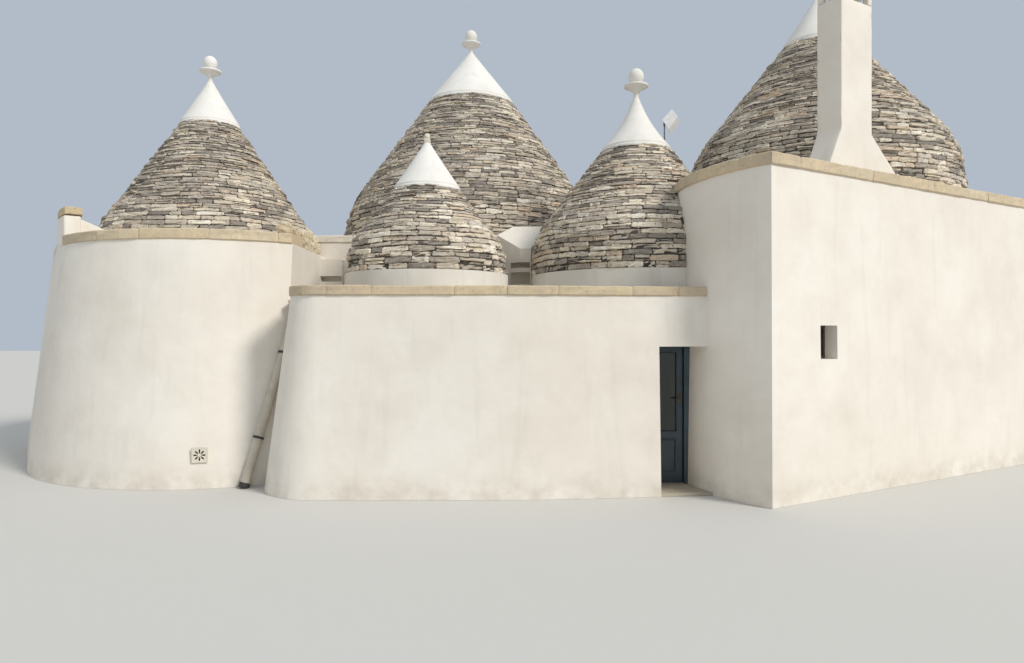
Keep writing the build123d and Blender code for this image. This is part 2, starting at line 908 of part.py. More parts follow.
with BuildPart() as chimney_cap:
    with BuildSketch(east_plane.offset(chimney_top)):
        with Locations(chimney_middle):
            with GridLocations(
                chimney_width - chimney_wall, chimney_depth - chimney_wall, 2, 2,
            ):
                Rectangle(chimney_wall, chimney_wall)
    extrude(amount=chimney_cap_gap)
    with BuildSketch(east_plane.offset(chimney_top + chimney_cap_gap)):
        with Locations(chimney_middle):
            Rectangle(
                chimney_width + 2 * chimney_cap_overhang, chimney_depth + 2 * chimney_cap_overhang,
            )
    extrude(amount=chimney_cap_thickness)
save(chimney_cap, "chimney_cap")

# Rear block

rear_wall_top = rear_deck_top - deck_thickness
rear_room_space = prism(rear_room, 0, rear_wall_top)
rear_ring = course(rear_block, 0, rear_wall_top, rear_room_space)

rear_arch = arch_cut(
    Plane(origin=(rear_arch_x, rear_front_y, 0), x_dir=(-1, 0, 0), z_dir=(0, 1, 0)),
    4 * rear_wall_thickness,
)


with BuildPart() as rear_front_wall:
    add(rear_ring)
    add(
        plan_zone(
            (rear_left_x, rear_front_y), (slant_start_x, rear_front_y),
            (slant_inner_x, slant_inner_y), (rear_left_x, slant_inner_y),
        ),
        mode=Mode.INTERSECT,
    )
    add(rear_arch, mode=Mode.SUBTRACT)
save(rear_front_wall, "rear_front_wall")

with BuildPart() as slanted_wall:
    add(rear_ring)
    add(
        plan_zone(
            (slant_start_x, rear_front_y), (slant_end_x, slant_end_y),
            (slant_end_x, slant_inner_end_y), (slant_inner_end_x, slant_inner_end_y),
            (slant_inner_x, slant_inner_y),
        ),
        mode=Mode.INTERSECT,
    )
save(slanted_wall, "slanted_wall")

with BuildPart() as rear_outer_wall:
    add(rear_ring)
    add(
        plan_zone(
            (-far, -far), (slant_end_x, -far), (slant_end_x, slant_inner_end_y),
            (slant_inner_end_x, slant_inner_end_y), (slant_inner_x, slant_inner_y), (-far, slant_inner_y),
        ),
        mode=Mode.SUBTRACT,
    )
save(rear_outer_wall, "rear_outer_wall")

with BuildPart() as rear_roof_deck:
    add(course(rear_block, rear_wall_top, rear_deck_top))
    for cone in (great_cone, back_cone):
        add(cone.foot(cone.inner_radius, 0, far), mode=Mode.SUBTRACT)
save(rear_roof_deck, "rear_roof_deck")

with BuildPart() as right_valley_block:
    valley_front_y = rear_front_y - valley_depth
    with BuildSketch(Plane.XY.offset(centre_deck_top)):
        polygon(
            (valley_back_left, rear_front_y), (valley_left[0], rear_front_y - valley_left[1]),
            (valley_front[0], valley_front_y), (valley_front[1], valley_front_y),
            (valley_back_right, rear_front_y),
        )
    extrude(amount=valley_block_top - centre_deck_top)
    slope_plane = Plane(
        origin=(0, rear_front_y, valley_block_top), x_dir=(0, -1, 0), z_dir=(-1, 0, 0),
    )
    with BuildSketch(slope_plane):
        polygon(
            (0, 0), (0, valley_depth), (valley_depth, valley_depth),
            (valley_depth, -valley_depth * tan(radians(valley_block_slope))),
        )
    extrude(amount=far, both=True, mode=Mode.SUBTRACT)
    slot_plane = Plane(origin=(0, valley_front_y, 0), x_dir=(1, 0, 0), z_dir=(0, -1, 0))
    for low, high in valley_slots:
        with BuildSketch(slot_plane):
            with Locations((sum(valley_slot_ends) / 2, (low + high) / 2)):
                Rectangle(valley_slot_ends[1] - valley_slot_ends[0], high - low)
        extrude(amount=-valley_slot_depth, mode=Mode.SUBTRACT)
    add(door_cone.foot(door_ring_radius, 0, door_cone.base), mode=Mode.SUBTRACT)
    add(great_cone.shell(), mode=Mode.SUBTRACT)
    add(door_cone.shell(), mode=Mode.SUBTRACT)

with BuildPart() as left_valley_block:
    left_valley_front = rear_front_y - left_valley_depth
    with BuildSketch(Plane.XY.offset(centre_deck_top)):
        polygon(
            (party_x, rear_front_y), (party_x, left_valley_front),
            (party_x + left_valley_width, left_valley_front),
            (party_x + left_valley_width, rear_front_y),
        )
    extrude(amount=left_valley_top - centre_deck_top)
    low, high = left_valley_slot
    left_slot_plane = Plane(
        origin=(party_x, left_valley_front, 0), x_dir=(1, 0, 0), z_dir=(0, -1, 0),
    )
    with BuildSketch(left_slot_plane):
        with Locations((left_valley_width / 2, (low + high) / 2)):
            Rectangle(left_valley_width - 2 * left_slot_margin, high - low)
    extrude(amount=-left_slot_depth, mode=Mode.SUBTRACT)

with BuildPart() as valley_blocks:
    add(right_valley_block.part)
    add(left_valley_block.part)
save(valley_blocks, "valley_blocks")

with BuildPart() as rear_coping:
    with BuildSketch(Plane.XY.offset(rear_deck_top)):
        rear_outline()
        offset(amount=kerb_overhang, kind=Kind.INTERSECTION, mode=Mode.REPLACE)
    extrude(amount=coping_thickness)
    with BuildSketch(Plane.XY.offset(rear_deck_top)):
        rear_outline()
        offset(amount=-kerb_width, kind=Kind.INTERSECTION, mode=Mode.REPLACE)
    extrude(amount=coping_thickness, mode=Mode.SUBTRACT)
    for neighbour in (east_block, valley_blocks.part):
        add(neighbour, mode=Mode.SUBTRACT)
    for cone in (great_cone, back_cone):
        add(cone.foot(cone.radius, 0, far), mode=Mode.SUBTRACT)
save(rear_coping, "rear_coping")

with BuildPart() as great_cone_shell:
    add(great_cone.shell())
save(great_cone_shell, "great_cone")

with BuildPart() as back_cone_shell:
    add(back_cone.shell())
save(back_cone_shell, "back_cone")

# Centre block

centre_wall_top = centre_deck_top - deck_thickness
centre_room_space = prism(centre_room, 0, centre_wall_top)
centre_ring = course(centre_block, 0, centre_wall_top, centre_room_space)
door_zone_outer = plan_zone(
    (door_left_x, -far), (far, -far), (far, door_reveal_y), (door_left_x, door_reveal_y),
)
door_zone_inner = plan_zone(
    (frame_left_x, door_reveal_y), (far, door_reveal_y), (far, far), (frame_left_x, far),
)
left_wall_zone = plan_zone(
    (-far, centre_room_front), (centre_room_left, centre_room_front),
    (centre_room_left, far), (-far, far),
)
wall_at_door_outside = shared(centre_ring, door_zone_outer)
wall_at_door_inside = shared(centre_ring, door_zone_inner)
leaf_bottom = floor_thickness + leaf_floor_gap
leaf_top = door_height - leaf_gap / 2
head_bottom = leaf_top + leaf_gap
head_top = head_bottom + frame_post
frame_inner_y = door_reveal_y + frame_depth

with BuildPart() as centre_left_wall:
    add(centre_ring)
    add(left_wall_zone, mode=Mode.INTERSECT)
    add(west_arch, mode=Mode.SUBTRACT)
save(centre_left_wall, "centre_left_wall")

with BuildPart() as centre_front_wall:
    add(centre_ring)
    for zone in (left_wall_zone, door_zone_outer, door_zone_inner):
        add(zone, mode=Mode.SUBTRACT)
save(centre_front_wall, "centre_front_wall")

with BuildPart() as wall_over_door:
    add(course(wall_at_door_outside, door_height, centre_wall_top))
    add(course(wall_at_door_inside, head_top, centre_wall_top))
save(wall_over_door, "wall_over_door")

with BuildPart() as door_sill:
    add(course(wall_at_door_outside, 0, floor_thickness))
    add(course(wall_at_door_inside, 0, floor_thickness))
save(door_sill, "door_sill")

with BuildPart() as centre_roof_deck:
    add(course(centre_block, centre_wall_top, centre_deck_top))
    for cone in (small_cone, door_cone):
        add(cone.foot(cone.inner_radius, 0, far), mode=Mode.SUBTRACT)
save(centre_roof_deck, "centre_roof_deck")

with BuildPart() as centre_coping:
    with BuildSketch(Plane.XY.offset(centre_deck_top)):
        centre_outline(
            centre_top_left - kerb_overhang, centre_top_front - kerb_overhang,
            centre_top_corner_radius + kerb_overhang,
        )
    extrude(amount=coping_thickness)
    with BuildSketch(Plane.XY.offset(centre_deck_top)):
        centre_outline(
            centre_top_left + kerb_width, centre_top_front + kerb_width,
            centre_top_corner_radius,
        )
    extrude(amount=coping_thickness, mode=Mode.SUBTRACT)
    for neighbour in (west_block, east_block, rear_block):
        add(neighbour, mode=Mode.SUBTRACT)
    add(
        plan_zone((-far, centre_recess_y), (far, centre_recess_y), (far, far), (-far, far)),
        mode=Mode.SUBTRACT,
    )
    add(door_cone.foot(door_ring_radius, 0, far), mode=Mode.SUBTRACT)
save(centre_coping, "centre_coping")

with BuildPart() as small_cone_shell:
    add(small_cone.shell())
save(small_cone_shell, "small_cone")

with BuildPart() as cone_rings:
    for cone, ring_radius in ((small_cone, small_ring_radius), (door_cone, door_ring_radius)):
        add(cone.foot(ring_radius, centre_deck_top, cone.base))
        add(cone.foot(cone.inner_radius, 0, far), mode=Mode.SUBTRACT)
    add(east_block, mode=Mode.SUBTRACT)
save(cone_rings, "cone_rings")

with BuildPart() as door_cone_shell:
    add(door_cone.shell())
    add(east_block, mode=Mode.SUBTRACT)
    add(east_cornice.part, mode=Mode.SUBTRACT)
save(door_cone_shell, "door_cone")

# Caps and finials of the cones

with BuildPart() as cone_caps:
    for cone in cones:
        add(cone.cap())
save(cone_caps, "cone_caps")

with BuildPart() as cone_finials:
    for cone in cones:
        if cone is not small_cone:
            add(cone.finial())
    tip = small_cone.cap_base + small_cone.cap_height
    with BuildSketch(Plane.XY.offset(tip)):
        with Locations(small_cone.centre):
            RegularPolygon(rough_finial_width / 2, 6)
    extrude(amount=rough_finial_height, taper=finial_taper)
save(cone_finials, "cone_finials")

# Floors of the four rooms, with the archways between them

with BuildPart() as room_floors:
    for space in (west_room, east_room, rear_room_space - east_block):
        add(course(space, 0, floor_thickness))
    add(course(centre_room_space, 0, floor_thickness, west_block, east_block, rear_block, door_sill.part))
save(room_floors, "room_floors")

# Doorway: frame, leaf, glass, handle and hinges

leaf_left = frame_left_x + frame_post + leaf_gap
leaf_right = leaf_left + leaf_width
frame_right_x = leaf_right + leaf_free_gap
frame_end_x = frame_right_x + frame_right_width
leaf_front_y = frame_inner_y - leaf_thickness
hinge_x = frame_left_x + frame_post + hinge_axis_gap
hinge_y = frame_inner_y + hinge_radius + hinge_knuckle_gap

with BuildPart() as door_frame:
    with BuildSketch(Plane.XY.offset(floor_thickness)):
        polygon(
            (frame_left_x, door_reveal_y), (frame_left_x + frame_post, door_reveal_y),
            (frame_left_x + frame_post, frame_inner_y), (frame_left_x, frame_inner_y),
        )
        polygon(
            (frame_right_x, door_reveal_y), (frame_end_x, door_reveal_y),
            (frame_end_x, frame_inner_y), (frame_right_x, frame_inner_y),
        )
    extrude(amount=head_top - floor_thickness)
    with BuildSketch(Plane.XY.offset(head_bottom)):
        polygon(
            (frame_left_x, door_reveal_y), (frame_end_x, door_reveal_y),
            (frame_end_x, frame_inner_y), (frame_left_x, frame_inner_y),
        )
    extrude(amount=head_top - head_bottom)
    add(east_block, mode=Mode.SUBTRACT)
save(door_frame, "door_frame")

leaf_plane = Plane(origin=(leaf_left, leaf_front_y, leaf_bottom), x_dir=(1, 0, 0), z_dir=(0, -1, 0))
leaf_height = leaf_top - leaf_bottom
glass_low = glass_bottom - leaf_bottom
glass_high = leaf_height - stile_width
glass_middle = (leaf_width / 2, (glass_low + glass_high) / 2)
glass_width = leaf_width - 2 * stile_width
panel_low = kick_rail_height
panel_high = glass_low - stile_width

with BuildPart() as door_leaf:
    with BuildSketch(leaf_plane):
        with Locations((leaf_width / 2, leaf_height / 2)):
            Rectangle(leaf_width, leaf_height)
        with Locations(glass_middle):
            Rectangle(glass_width, glass_high - glass_low, mode=Mode.SUBTRACT)
    extrude(amount=-leaf_thickness)
    for depth in (0, panel_recess - leaf_thickness):
        with BuildSketch(leaf_plane.offset(depth)):
            with Locations((leaf_width / 2, (panel_low + panel_high) / 2)):
                Rectangle(glass_width, panel_high - panel_low)
        extrude(amount=-panel_recess, mode=Mode.SUBTRACT)
save(door_leaf, "door_leaf")

with BuildPart() as door_glass:
    with BuildSketch(leaf_plane.offset(-(leaf_thickness - glass_thickness) / 2)):
        with Locations(glass_middle):
            Rectangle(glass_width, glass_high - glass_low)
    extrude(amount=-glass_thickness)
save(door_glass, "door_glass")

handle_x = leaf_right - stile_width / 2

with BuildPart() as door_handle:
    for face_y, outward in ((leaf_front_y, -1), (frame_inner_y, 1)):
        plate_plane = Plane(
            origin=(handle_x, face_y, handle_height), x_dir=(-outward, 0, 0), z_dir=(0, outward, 0),
        )
        with BuildSketch(plate_plane):
            Rectangle(handle_plate_width, handle_plate_height)
        extrude(amount=handle_plate_thickness)
        with BuildSketch(plate_plane):
            Circle(handle_bar_radius)
        extrude(amount=handle_stand)
        lever_plane = Plane(
            origin=(handle_x + handle_bar_radius, face_y + outward * handle_stand, handle_height),
            x_dir=(0, 0, 1), z_dir=(-1, 0, 0),
        )
        with BuildSketch(lever_plane):
            Circle(handle_bar_radius)
        extrude(amount=handle_lever)
save(door_handle, "door_handle")

hinge_plate_y = frame_inner_y + hinge_plate_thickness / 2


def hinge_half(level, side, bottom, top):
    """Knuckle and plate of half a hinge, side -1 on the frame and 1 on the leaf."""
    with BuildPart() as half:
        with BuildSketch(Plane.XY.offset(bottom)):
            with Locations((hinge_x, hinge_y)):
                Circle(hinge_radius)
            with Locations((hinge_x + side * hinge_plate_start / 2, hinge_plate_y)):
                Rectangle(hinge_plate_start, hinge_plate_thickness)
        extrude(amount=top - bottom)
        plate_middle = (hinge_plate_start + hinge_plate_width) / 2
        with BuildSketch(Plane.XY.offset(level)):
            with Locations((hinge_x + side * plate_middle, hinge_plate_y)):
                Rectangle(hinge_plate_width - hinge_plate_start, hinge_plate_thickness)
        extrude(amount=hinge_height)
    return half.part


with BuildPart() as frame_hinges:
    for level in hinge_levels:
        add(hinge_half(level, -1, level, level + hinge_height / 2))
        with BuildSketch(Plane.XY.offset(level)):
            with Locations((hinge_x, hinge_y)):
                Circle(hinge_pin_radius)
        extrude(amount=hinge_height)
save(frame_hinges, "frame_hinges")

with BuildPart() as leaf_hinges:
    for level in hinge_levels:
        add(hinge_half(level, 1, level + hinge_height / 2 + hinge_lift, level + hinge_height))
        with BuildSketch(Plane.XY.offset(level)):
            with Locations((hinge_x, hinge_y)):
                Circle(hinge_pin_radius + hinge_pin_clearance)
        extrude(amount=hinge_height, mode=Mode.SUBTRACT)
save(leaf_hinges, "leaf_hinges")

# Rain-water hopper and pipe

hopper_centre = (pipe_head[0] + hopper_shift[0], pipe_head[1] + hopper_shift[1])

with BuildPart() as rain_hopper:
    with BuildSketch(Plane.XY.offset(pipe_head[2])):
        with Locations(hopper_centre):
            Rectangle(*hopper_foot)
    with BuildSketch(Plane.XY.offset(pipe_head[2] + hopper_height)):
        with Locations(hopper_centre):
            Rectangle(*hopper_mouth)
    loft(ruled=True)
    add(west_block, mode=Mode.SUBTRACT)
    add(centre_block, mode=Mode.SUBTRACT)
save(rain_hopper, "rain_hopper")

with BuildPart() as downpipe:
    with BuildLine() as pipe_line:
        Line(pipe_head, pipe_foot)
    with BuildSketch(Plane(origin=pipe_line.line @ 0, z_dir=pipe_line.line % 0)):
        Circle(pipe_radius)
    sweep()
    with BuildSketch():
        Rectangle(far, far)
    extrude(amount=pipe_head[2], mode=Mode.INTERSECT)
save(downpipe, "downpipe")

# Collar at the pipe's foot and two clips that hold the pipe to the west wall

pipe_axis = Vector(*pipe_foot) - Vector(*pipe_head)
pipe_rings = [(1 - collar_height / pipe_axis.length, collar_height)]
pipe_rings += [(level, clip_height) for level in clip_levels]

with BuildPart() as pipe_fittings:
    for level, ring_height in pipe_rings:
        ring_centre = Vector(*pipe_head) + pipe_axis * level
        with BuildSketch(Plane(origin=ring_centre, z_dir=pipe_axis)):
            Circle(pipe_radius + collar_thickness)
        extrude(amount=ring_height)
    for level in clip_levels:
        stem_start = Vector(*pipe_head) + pipe_axis * level
        to_wall = Vector(west_nose_x - stem_start.X, west_nose_y - stem_start.Y, 0)
        with BuildSketch(Plane(origin=stem_start, z_dir=to_wall)):
            Rectangle(clip_stem, clip_stem)
        extrude(amount=3 * pipe_radius)
    add(downpipe.part, mode=Mode.SUBTRACT)
    add(west_block, mode=Mode.SUBTRACT)
    with BuildSketch():
        Rectangle(far, far)
    extrude(amount=-far, mode=Mode.SUBTRACT)
save(pipe_fittings, "pipe_fittings")

# Rosette vent

vent_batter_angle = degrees(atan2(west_batter, west_deck_top))
vent_wall_radius = west_base_radius - vent_height * west_batter / west_deck_top
vent_x, vent_y = offset_point(west_nose_x, west_nose_y, vent_wall_radius, vent_angle)
vent_normal = (
    cos(radians(vent_angle)) * cos(radians(vent_batter_angle)),
    sin(radians(vent_angle)) * cos(radians(vent_batter_angle)),
    sin(radians(vent_batter_angle)),
)
with BuildPart() as rosette_vent:
    with BuildSketch(Plane(origin=(vent_x, vent_y, vent_height), z_dir=vent_normal).offset(vent_proud)):
        Rectangle(vent_side, vent_side)
    extrude(amount=-3 * vent_proud)
    add(west_block, mode=Mode.SUBTRACT)
save(rosette_vent, "rosette_vent")

# Aerial

with BuildPart() as aerial:
    aerial_foot = east_deck_top + cornice_thickness
    with BuildSketch(Plane.XY.offset(aerial_foot)):
        with Locations((aerial_x, aerial_y)):
            Circle(aerial_radius)
    extrude(amount=aerial_top - aerial_foot)
    panel_plane = Plane(
        origin=(aerial_x + aerial_panel_shift, aerial_y - aerial_radius / 2, aerial_top - aerial_panel_drop),
        x_dir=(1, 0, 0), z_dir=(0, -1, 0),
    )
    with BuildSketch(panel_plane):
        Rectangle(aerial_panel, aerial_panel, rotation=45)
    extrude(amount=aerial_panel_thickness)
save(aerial, "aerial")
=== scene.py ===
import json
from math import asin, atan2, cos, hypot, pi, radians, sin, tan

import bmesh
import bpy
import numpy as np
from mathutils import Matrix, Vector, noise


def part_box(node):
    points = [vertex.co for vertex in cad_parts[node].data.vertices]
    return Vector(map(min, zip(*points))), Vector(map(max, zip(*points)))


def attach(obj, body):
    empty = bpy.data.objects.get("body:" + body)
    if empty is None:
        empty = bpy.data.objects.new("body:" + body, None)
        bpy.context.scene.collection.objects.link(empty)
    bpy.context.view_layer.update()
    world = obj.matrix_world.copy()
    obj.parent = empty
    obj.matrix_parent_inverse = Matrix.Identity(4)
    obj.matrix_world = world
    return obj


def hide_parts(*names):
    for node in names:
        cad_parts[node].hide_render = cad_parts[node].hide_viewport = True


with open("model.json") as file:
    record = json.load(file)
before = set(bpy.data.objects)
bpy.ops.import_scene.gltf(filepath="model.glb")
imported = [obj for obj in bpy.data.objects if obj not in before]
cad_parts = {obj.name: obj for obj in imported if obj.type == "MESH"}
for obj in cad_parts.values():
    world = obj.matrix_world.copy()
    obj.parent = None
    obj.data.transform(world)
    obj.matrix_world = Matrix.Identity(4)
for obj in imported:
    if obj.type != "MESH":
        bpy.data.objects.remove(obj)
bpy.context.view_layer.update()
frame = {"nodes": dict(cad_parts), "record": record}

# The looks of a whitewashed house under six dry-stone cones. Metres, Z up, the house's own frame.

nodes = frame["nodes"]
house = "house"
door = "door"
random_seed = 7
random = np.random.default_rng(random_seed)
quarter = pi / 2
full_turn = 2 * pi

# Camera of the photograph: level, with the horizon a little below the middle
image_width = 1024.0
focal_pixels = 740.0
horizon_below_middle = 3.5
camera_place = (-0.320, -13.360, 2.0)
sensor_width = 36.0

# A soft sun from the right, a pale sky and a wide plain floor
sun_energy = 2.3
sun_spread = radians(14)
sun_colour = (1.0, 0.965, 0.91)
sun_from = (0.62, -0.48, 0.62)
sky_colour = (0.86, 0.93, 1.0, 1.0)
sky_strength = 0.62
backdrop_tone = (178, 188, 200)
floor_tone = (206, 204, 199)
floor_half = 80.0
floor_drop = 0.002

# Courses of the cones, high at the foot and thin at the head
foot_course = 0.084
head_course = 0.056
thinning = 1.4
course_spread = (0.80, 1.22)
course_gap = 0.008
least_rest = 0.02

# Waves of the courses: rise, waves in a turn (in a metre for the short one) and shift up the slope
course_waves = ((0.010, 2.0, 1.3), (0.007, 5.0, 2.0))
short_wave = (0.005, 3.1, 9.0)
wave_fade = 0.25

# Stones of the cones
stone_length = (0.15, 0.43)
split_share = 0.10
split_place = (0.4, 0.6)
stone_gap = 0.003
stone_lift = 0.006
stone_proud = (0.002, 0.042)
proud_power = 1.5
stone_root = 0.045
rim_set_back = 0.012
face_upright = 0.35
face_tilt = 0.008
side_lean = 0.013
bed_lean = 0.009
chip_sizes = (0.0042, 0.0034, 0.0068)
stone_columns = (0.0, 0.05, 0.22, 0.50, 0.78, 0.95, 1.0)
stone_rows = (0.0, 0.18, 0.50, 0.82, 1.0)
corner_pull = (0.07, 0.34)

# Cornice and coping stones
band_overhang = 0.035
band_width = 0.415
cornice_height = 0.150
coping_height = 0.130
block_length = (0.55, 1.05)
block_gap = 0.003
arris = 0.014
block_steps = 5
block_end_zone = 0.03
block_end_wear = 0.006
block_set_out = (-0.014, -0.006)
block_lift = (-0.010, -0.002)
block_rough = 0.010
block_top_rough = 0.6
block_rough_scale = (7.0, 16.0, 9.0)
seed_span = 50

# Plans of the blocks, as far as the cornices follow them
west_nose = (-4.990, -0.890)
west_heading = radians(123.4)
west_length = 2.0
west_top_radius = 2.550
west_flush_from = radians(190)
pier_start = -0.550
pier_end = 0.070
party_x = -3.420
party_clearance = 0.002
flank_centre = (4.544, -3.050)
flank_radius = 2.604
flank_angle = radians(44.05)
east_heading = radians(31.0)
east_front_length = 7.406
east_depth = 5.600
east_batter = 0.050
east_margin = 0.12
rear_left_x = -3.720
rear_right_x = 4.280
rear_front_y = -1.160
rear_back_y = 4.8235
rear_end_y = 2.2
slant_start_x = -0.020
slant_heading = radians(41.7)
slant_back = 1.3
centre_left_x = -3.160
centre_end_x = 2.30
centre_front_y = -4.230
centre_corner_radius = 0.430
centre_bend_x = -0.120
centre_bend_angle = radians(6.5)
centre_bend_half = 0.700
centre_bend_steps = 8
centre_recess_y = -2.880
arc_step, corner_step = radians(4), radians(8)
least_mitre = 0.3

# Distance for welding points, and digits for comparing heights
weld = 1e-5
level_digits = 4

cone_names = ("west_cone", "small_cone", "great_cone", "door_cone", "east_cone", "back_cone")


# Shader nodes

def linear_colour(red, green, blue):
    """Colour on the screen, from 0 to 255, as a linear colour."""
    def linear(value):
        value /= 255
        return value / 12.92 if value <= 0.04045 else ((value + 0.055) / 1.055) ** 2.4
    return (linear(red), linear(green), linear(blue), 1.0)


class Shader:
    """A material's node tree, with short calls for the nodes that are used here."""

    def __init__(self, name, roughness):
        self.material = bpy.data.materials.new(name)
        self.material.use_nodes = True
        self.tree = self.material.node_tree
        self.surface = self.tree.nodes["Principled BSDF"]
        self.surface.inputs["Roughness"].default_value = roughness
        self.place = self.tree.nodes.new("ShaderNodeTexCoord").outputs["Object"]

    def put(self, socket, value):
        """Links a socket to another one, or sets its value."""
        if isinstance(value, bpy.types.NodeSocket):
            self.tree.links.new(value, socket)
        else:
            socket.default_value = value

    def tint(self, socket, value):
        """Links a socket to another one, or sets it to a screen colour."""
        self.put(socket, linear_colour(*value) if isinstance(value, tuple) else value)

    def node(self, kind, **inputs):
        """New node; an underscore in the name of an input stands for a space."""
        made = self.tree.nodes.new(kind)
        for name, value in inputs.items():
            self.put(made.inputs[name.replace("_", " ")], value)
        return made

    def stretched(self, x, y, z):
        """Object coordinates, scaled by x, y and z."""
        return self.node("ShaderNodeMapping", Vector=self.place, Scale=(x, y, z)).outputs["Vector"]

    def noise(self, scale, detail, roughness, place=None):
        made = self.node("ShaderNodeTexNoise", Scale=scale, Detail=detail, Roughness=roughness)
        self.put(made.inputs["Vector"], place or self.place)
        return made.outputs["Fac"]

    def ramp(self, value, *stops):
        """Colour ramp; each stop is a position and a colour or a grey level."""
        made = self.node("ShaderNodeValToRGB", Fac=value)
        elements = made.color_ramp.elements
        while len(elements) < len(stops):
            elements.new(0.5)
        for element, (position, tone) in zip(elements, stops):
            element.position = position
            element.color = linear_colour(*tone) if isinstance(tone, tuple) else (tone, tone, tone, 1.0)
        return made.outputs["Color"]

    def mix(self, share, first, second):
        """Mix of two colours; they are inputs 6 and 7 of a Mix node, and output 2."""
        made = self.tree.nodes.new("ShaderNodeMix")
        made.data_type = "RGBA"
        self.put(made.inputs[0], share)
        self.tint(made.inputs[6], first)
        self.tint(made.inputs[7], second)
        return made.outputs[2]

    def patched(self, tone, other, cloud, low, high, top=1.0):
        """A tone that turns into another, by up to top, where a noise rises from low to high."""
        return self.mix(self.ramp(cloud, (low, 0.0), (high, top)), tone, other)

    def up(self, vector):
        """Z of a vector."""
        return self.node("ShaderNodeSeparateXYZ", Vector=vector).outputs["Z"]

    def fade(self, value, low, high):
        """0 at low and 1 at high, smooth between them."""
        made = self.node("ShaderNodeMapRange", Value=value, From_Min=low, From_Max=high)
        made.interpolation_type = "SMOOTHSTEP"
        return made.outputs["Result"]

    def bump(self, *layers):
        """Bump layers, each a height, a strength and a depth in metres."""
        normal = None
        for value, strength, distance in layers:
            made = self.node("ShaderNodeBump", Height=value, Strength=strength, Distance=distance)
            if normal:
                self.tree.links.new(normal, made.inputs["Normal"])
            normal = made.outputs["Normal"]
        self.tree.links.new(normal, self.surface.inputs["Normal"])

    def paint(self, value):
        self.tint(self.surface.inputs["Base Color"], value)
        return self.material


# Materials

stain_tone = (202, 192, 176)
splash_tone = (176, 164, 144)
streak_tone = (170, 166, 158)
dusty_stone = (174, 165, 151)
drift_tone = (136, 128, 119)
lichen_tone = (92, 87, 80)
pale_tone = (216, 206, 186)
worn_paint = (82, 104, 110)
wall_light = (239, 233, 223)
wall_dark = (229, 221, 209)
drift_share = 0.62
glass_tone = (214, 226, 224)
glass_index = 1.45
paint_coat = 0.25
grain_fineness = 9


def wash_tone(shader, light, dark, splash, streaks):
    """Colour of lime-washed plaster: cloudy, with a splashed foot and streaks of rain."""
    clouds = shader.noise(scale=0.55, detail=5.0, roughness=0.6)
    tone = shader.patched(light, dark, clouds, low=0.36, high=0.66)
    patches = shader.noise(scale=1.7, detail=6.0, roughness=0.62)
    tone = shader.patched(tone, stain_tone, patches, low=0.46, high=0.72, top=0.22)
    spatter = shader.noise(scale=4.2, detail=6.0, roughness=0.6)
    splashed = shader.patched(tone, splash_tone, spatter, low=0.38, high=0.68, top=splash)
    tone = shader.mix(shader.fade(shader.up(shader.place), low=0.02, high=0.42), splashed, tone)
    upright = shader.stretched(7.0, 7.0, 0.55)
    runs = shader.noise(scale=1.0, detail=5.0, roughness=0.6, place=upright)
    return shader.patched(tone, streak_tone, runs, low=0.55, high=0.78, top=streaks)


def plastered(shader, tone):
    """The shader's material in a tone, with trowel marks and a fine grain."""
    level = shader.stretched(2.2, 2.2, 4.5)
    trowel = shader.noise(scale=1.0, detail=5.0, roughness=0.6, place=level)
    swell = shader.noise(scale=1.1, detail=3.0, roughness=0.5)
    grain = shader.noise(scale=95.0, detail=3.0, roughness=0.7)
    shader.bump((swell, 0.6, 0.030), (trowel, 0.55, 0.010), (grain, 0.25, 0.0012))
    return shader.paint(tone)


def whitewash(name, light, dark, splash, streaks):
    shader = Shader(name, roughness=0.9)
    return plastered(shader, wash_tone(shader, light, dark, splash, streaks))


def deck_wash(name, top_light, top_dark):
    """Dusty plaster on top of a deck, and wall plaster on its sides."""
    shader = Shader(name, roughness=0.9)
    normal = shader.node("ShaderNodeNewGeometry").outputs["Normal"]
    upward = shader.fade(shader.up(normal), low=0.4, high=0.7)
    side = wash_tone(shader, wall_light, wall_dark, splash=0.0, streaks=0.14)
    top = wash_tone(shader, top_light, top_dark, splash=0.0, streaks=0.0)
    return plastered(shader, shader.mix(upward, side, top))


def stone(name, tones, spots, grain_depth=0.002):
    """Limestone, its own tone for each loose stone, with lichen and pits."""
    shader = Shader(name, roughness=0.92)
    chance = shader.node("ShaderNodeNewGeometry").outputs["Random Per Island"]
    tone = shader.ramp(chance, *[(number / len(tones), tone) for number, tone in enumerate(tones)])
    tone.node.color_ramp.interpolation = "CONSTANT"
    cloud = shader.noise(scale=9.0, detail=6.0, roughness=0.65)
    tone = shader.patched(tone, dusty_stone, cloud, low=0.35, high=0.75, top=0.5)
    drift = shader.noise(scale=0.8, detail=5.0, roughness=0.65)
    tone = shader.patched(tone, drift_tone, drift, low=0.44, high=0.64, top=spots * drift_share)
    lichen = shader.noise(scale=21.0, detail=6.0, roughness=0.78)
    tone = shader.patched(tone, lichen_tone, lichen, low=0.54, high=0.64, top=spots)
    pale = shader.noise(scale=15.0, detail=5.0, roughness=0.7)
    tone = shader.patched(tone, pale_tone, pale, low=0.58, high=0.68, top=spots)
    pits = shader.noise(scale=60.0, detail=5.0, roughness=0.7)
    shader.bump((cloud, 0.6, 0.010), (pits, 0.7, grain_depth))
    return shader.paint(tone)


def plain(name, light, dark, roughness, scale, metallic=0.0, grain=0.0006):
    """Paint or metal with a slight change of tone and a fine grain."""
    shader = Shader(name, roughness)
    shader.surface.inputs["Metallic"].default_value = metallic
    cloud = shader.noise(scale=scale, detail=5.0, roughness=0.6)
    shader.bump((shader.noise(scale=scale * grain_fineness, detail=3.0, roughness=0.6), 0.4, grain))
    return shader.paint(shader.patched(light, dark, cloud, low=0.35, high=0.70))


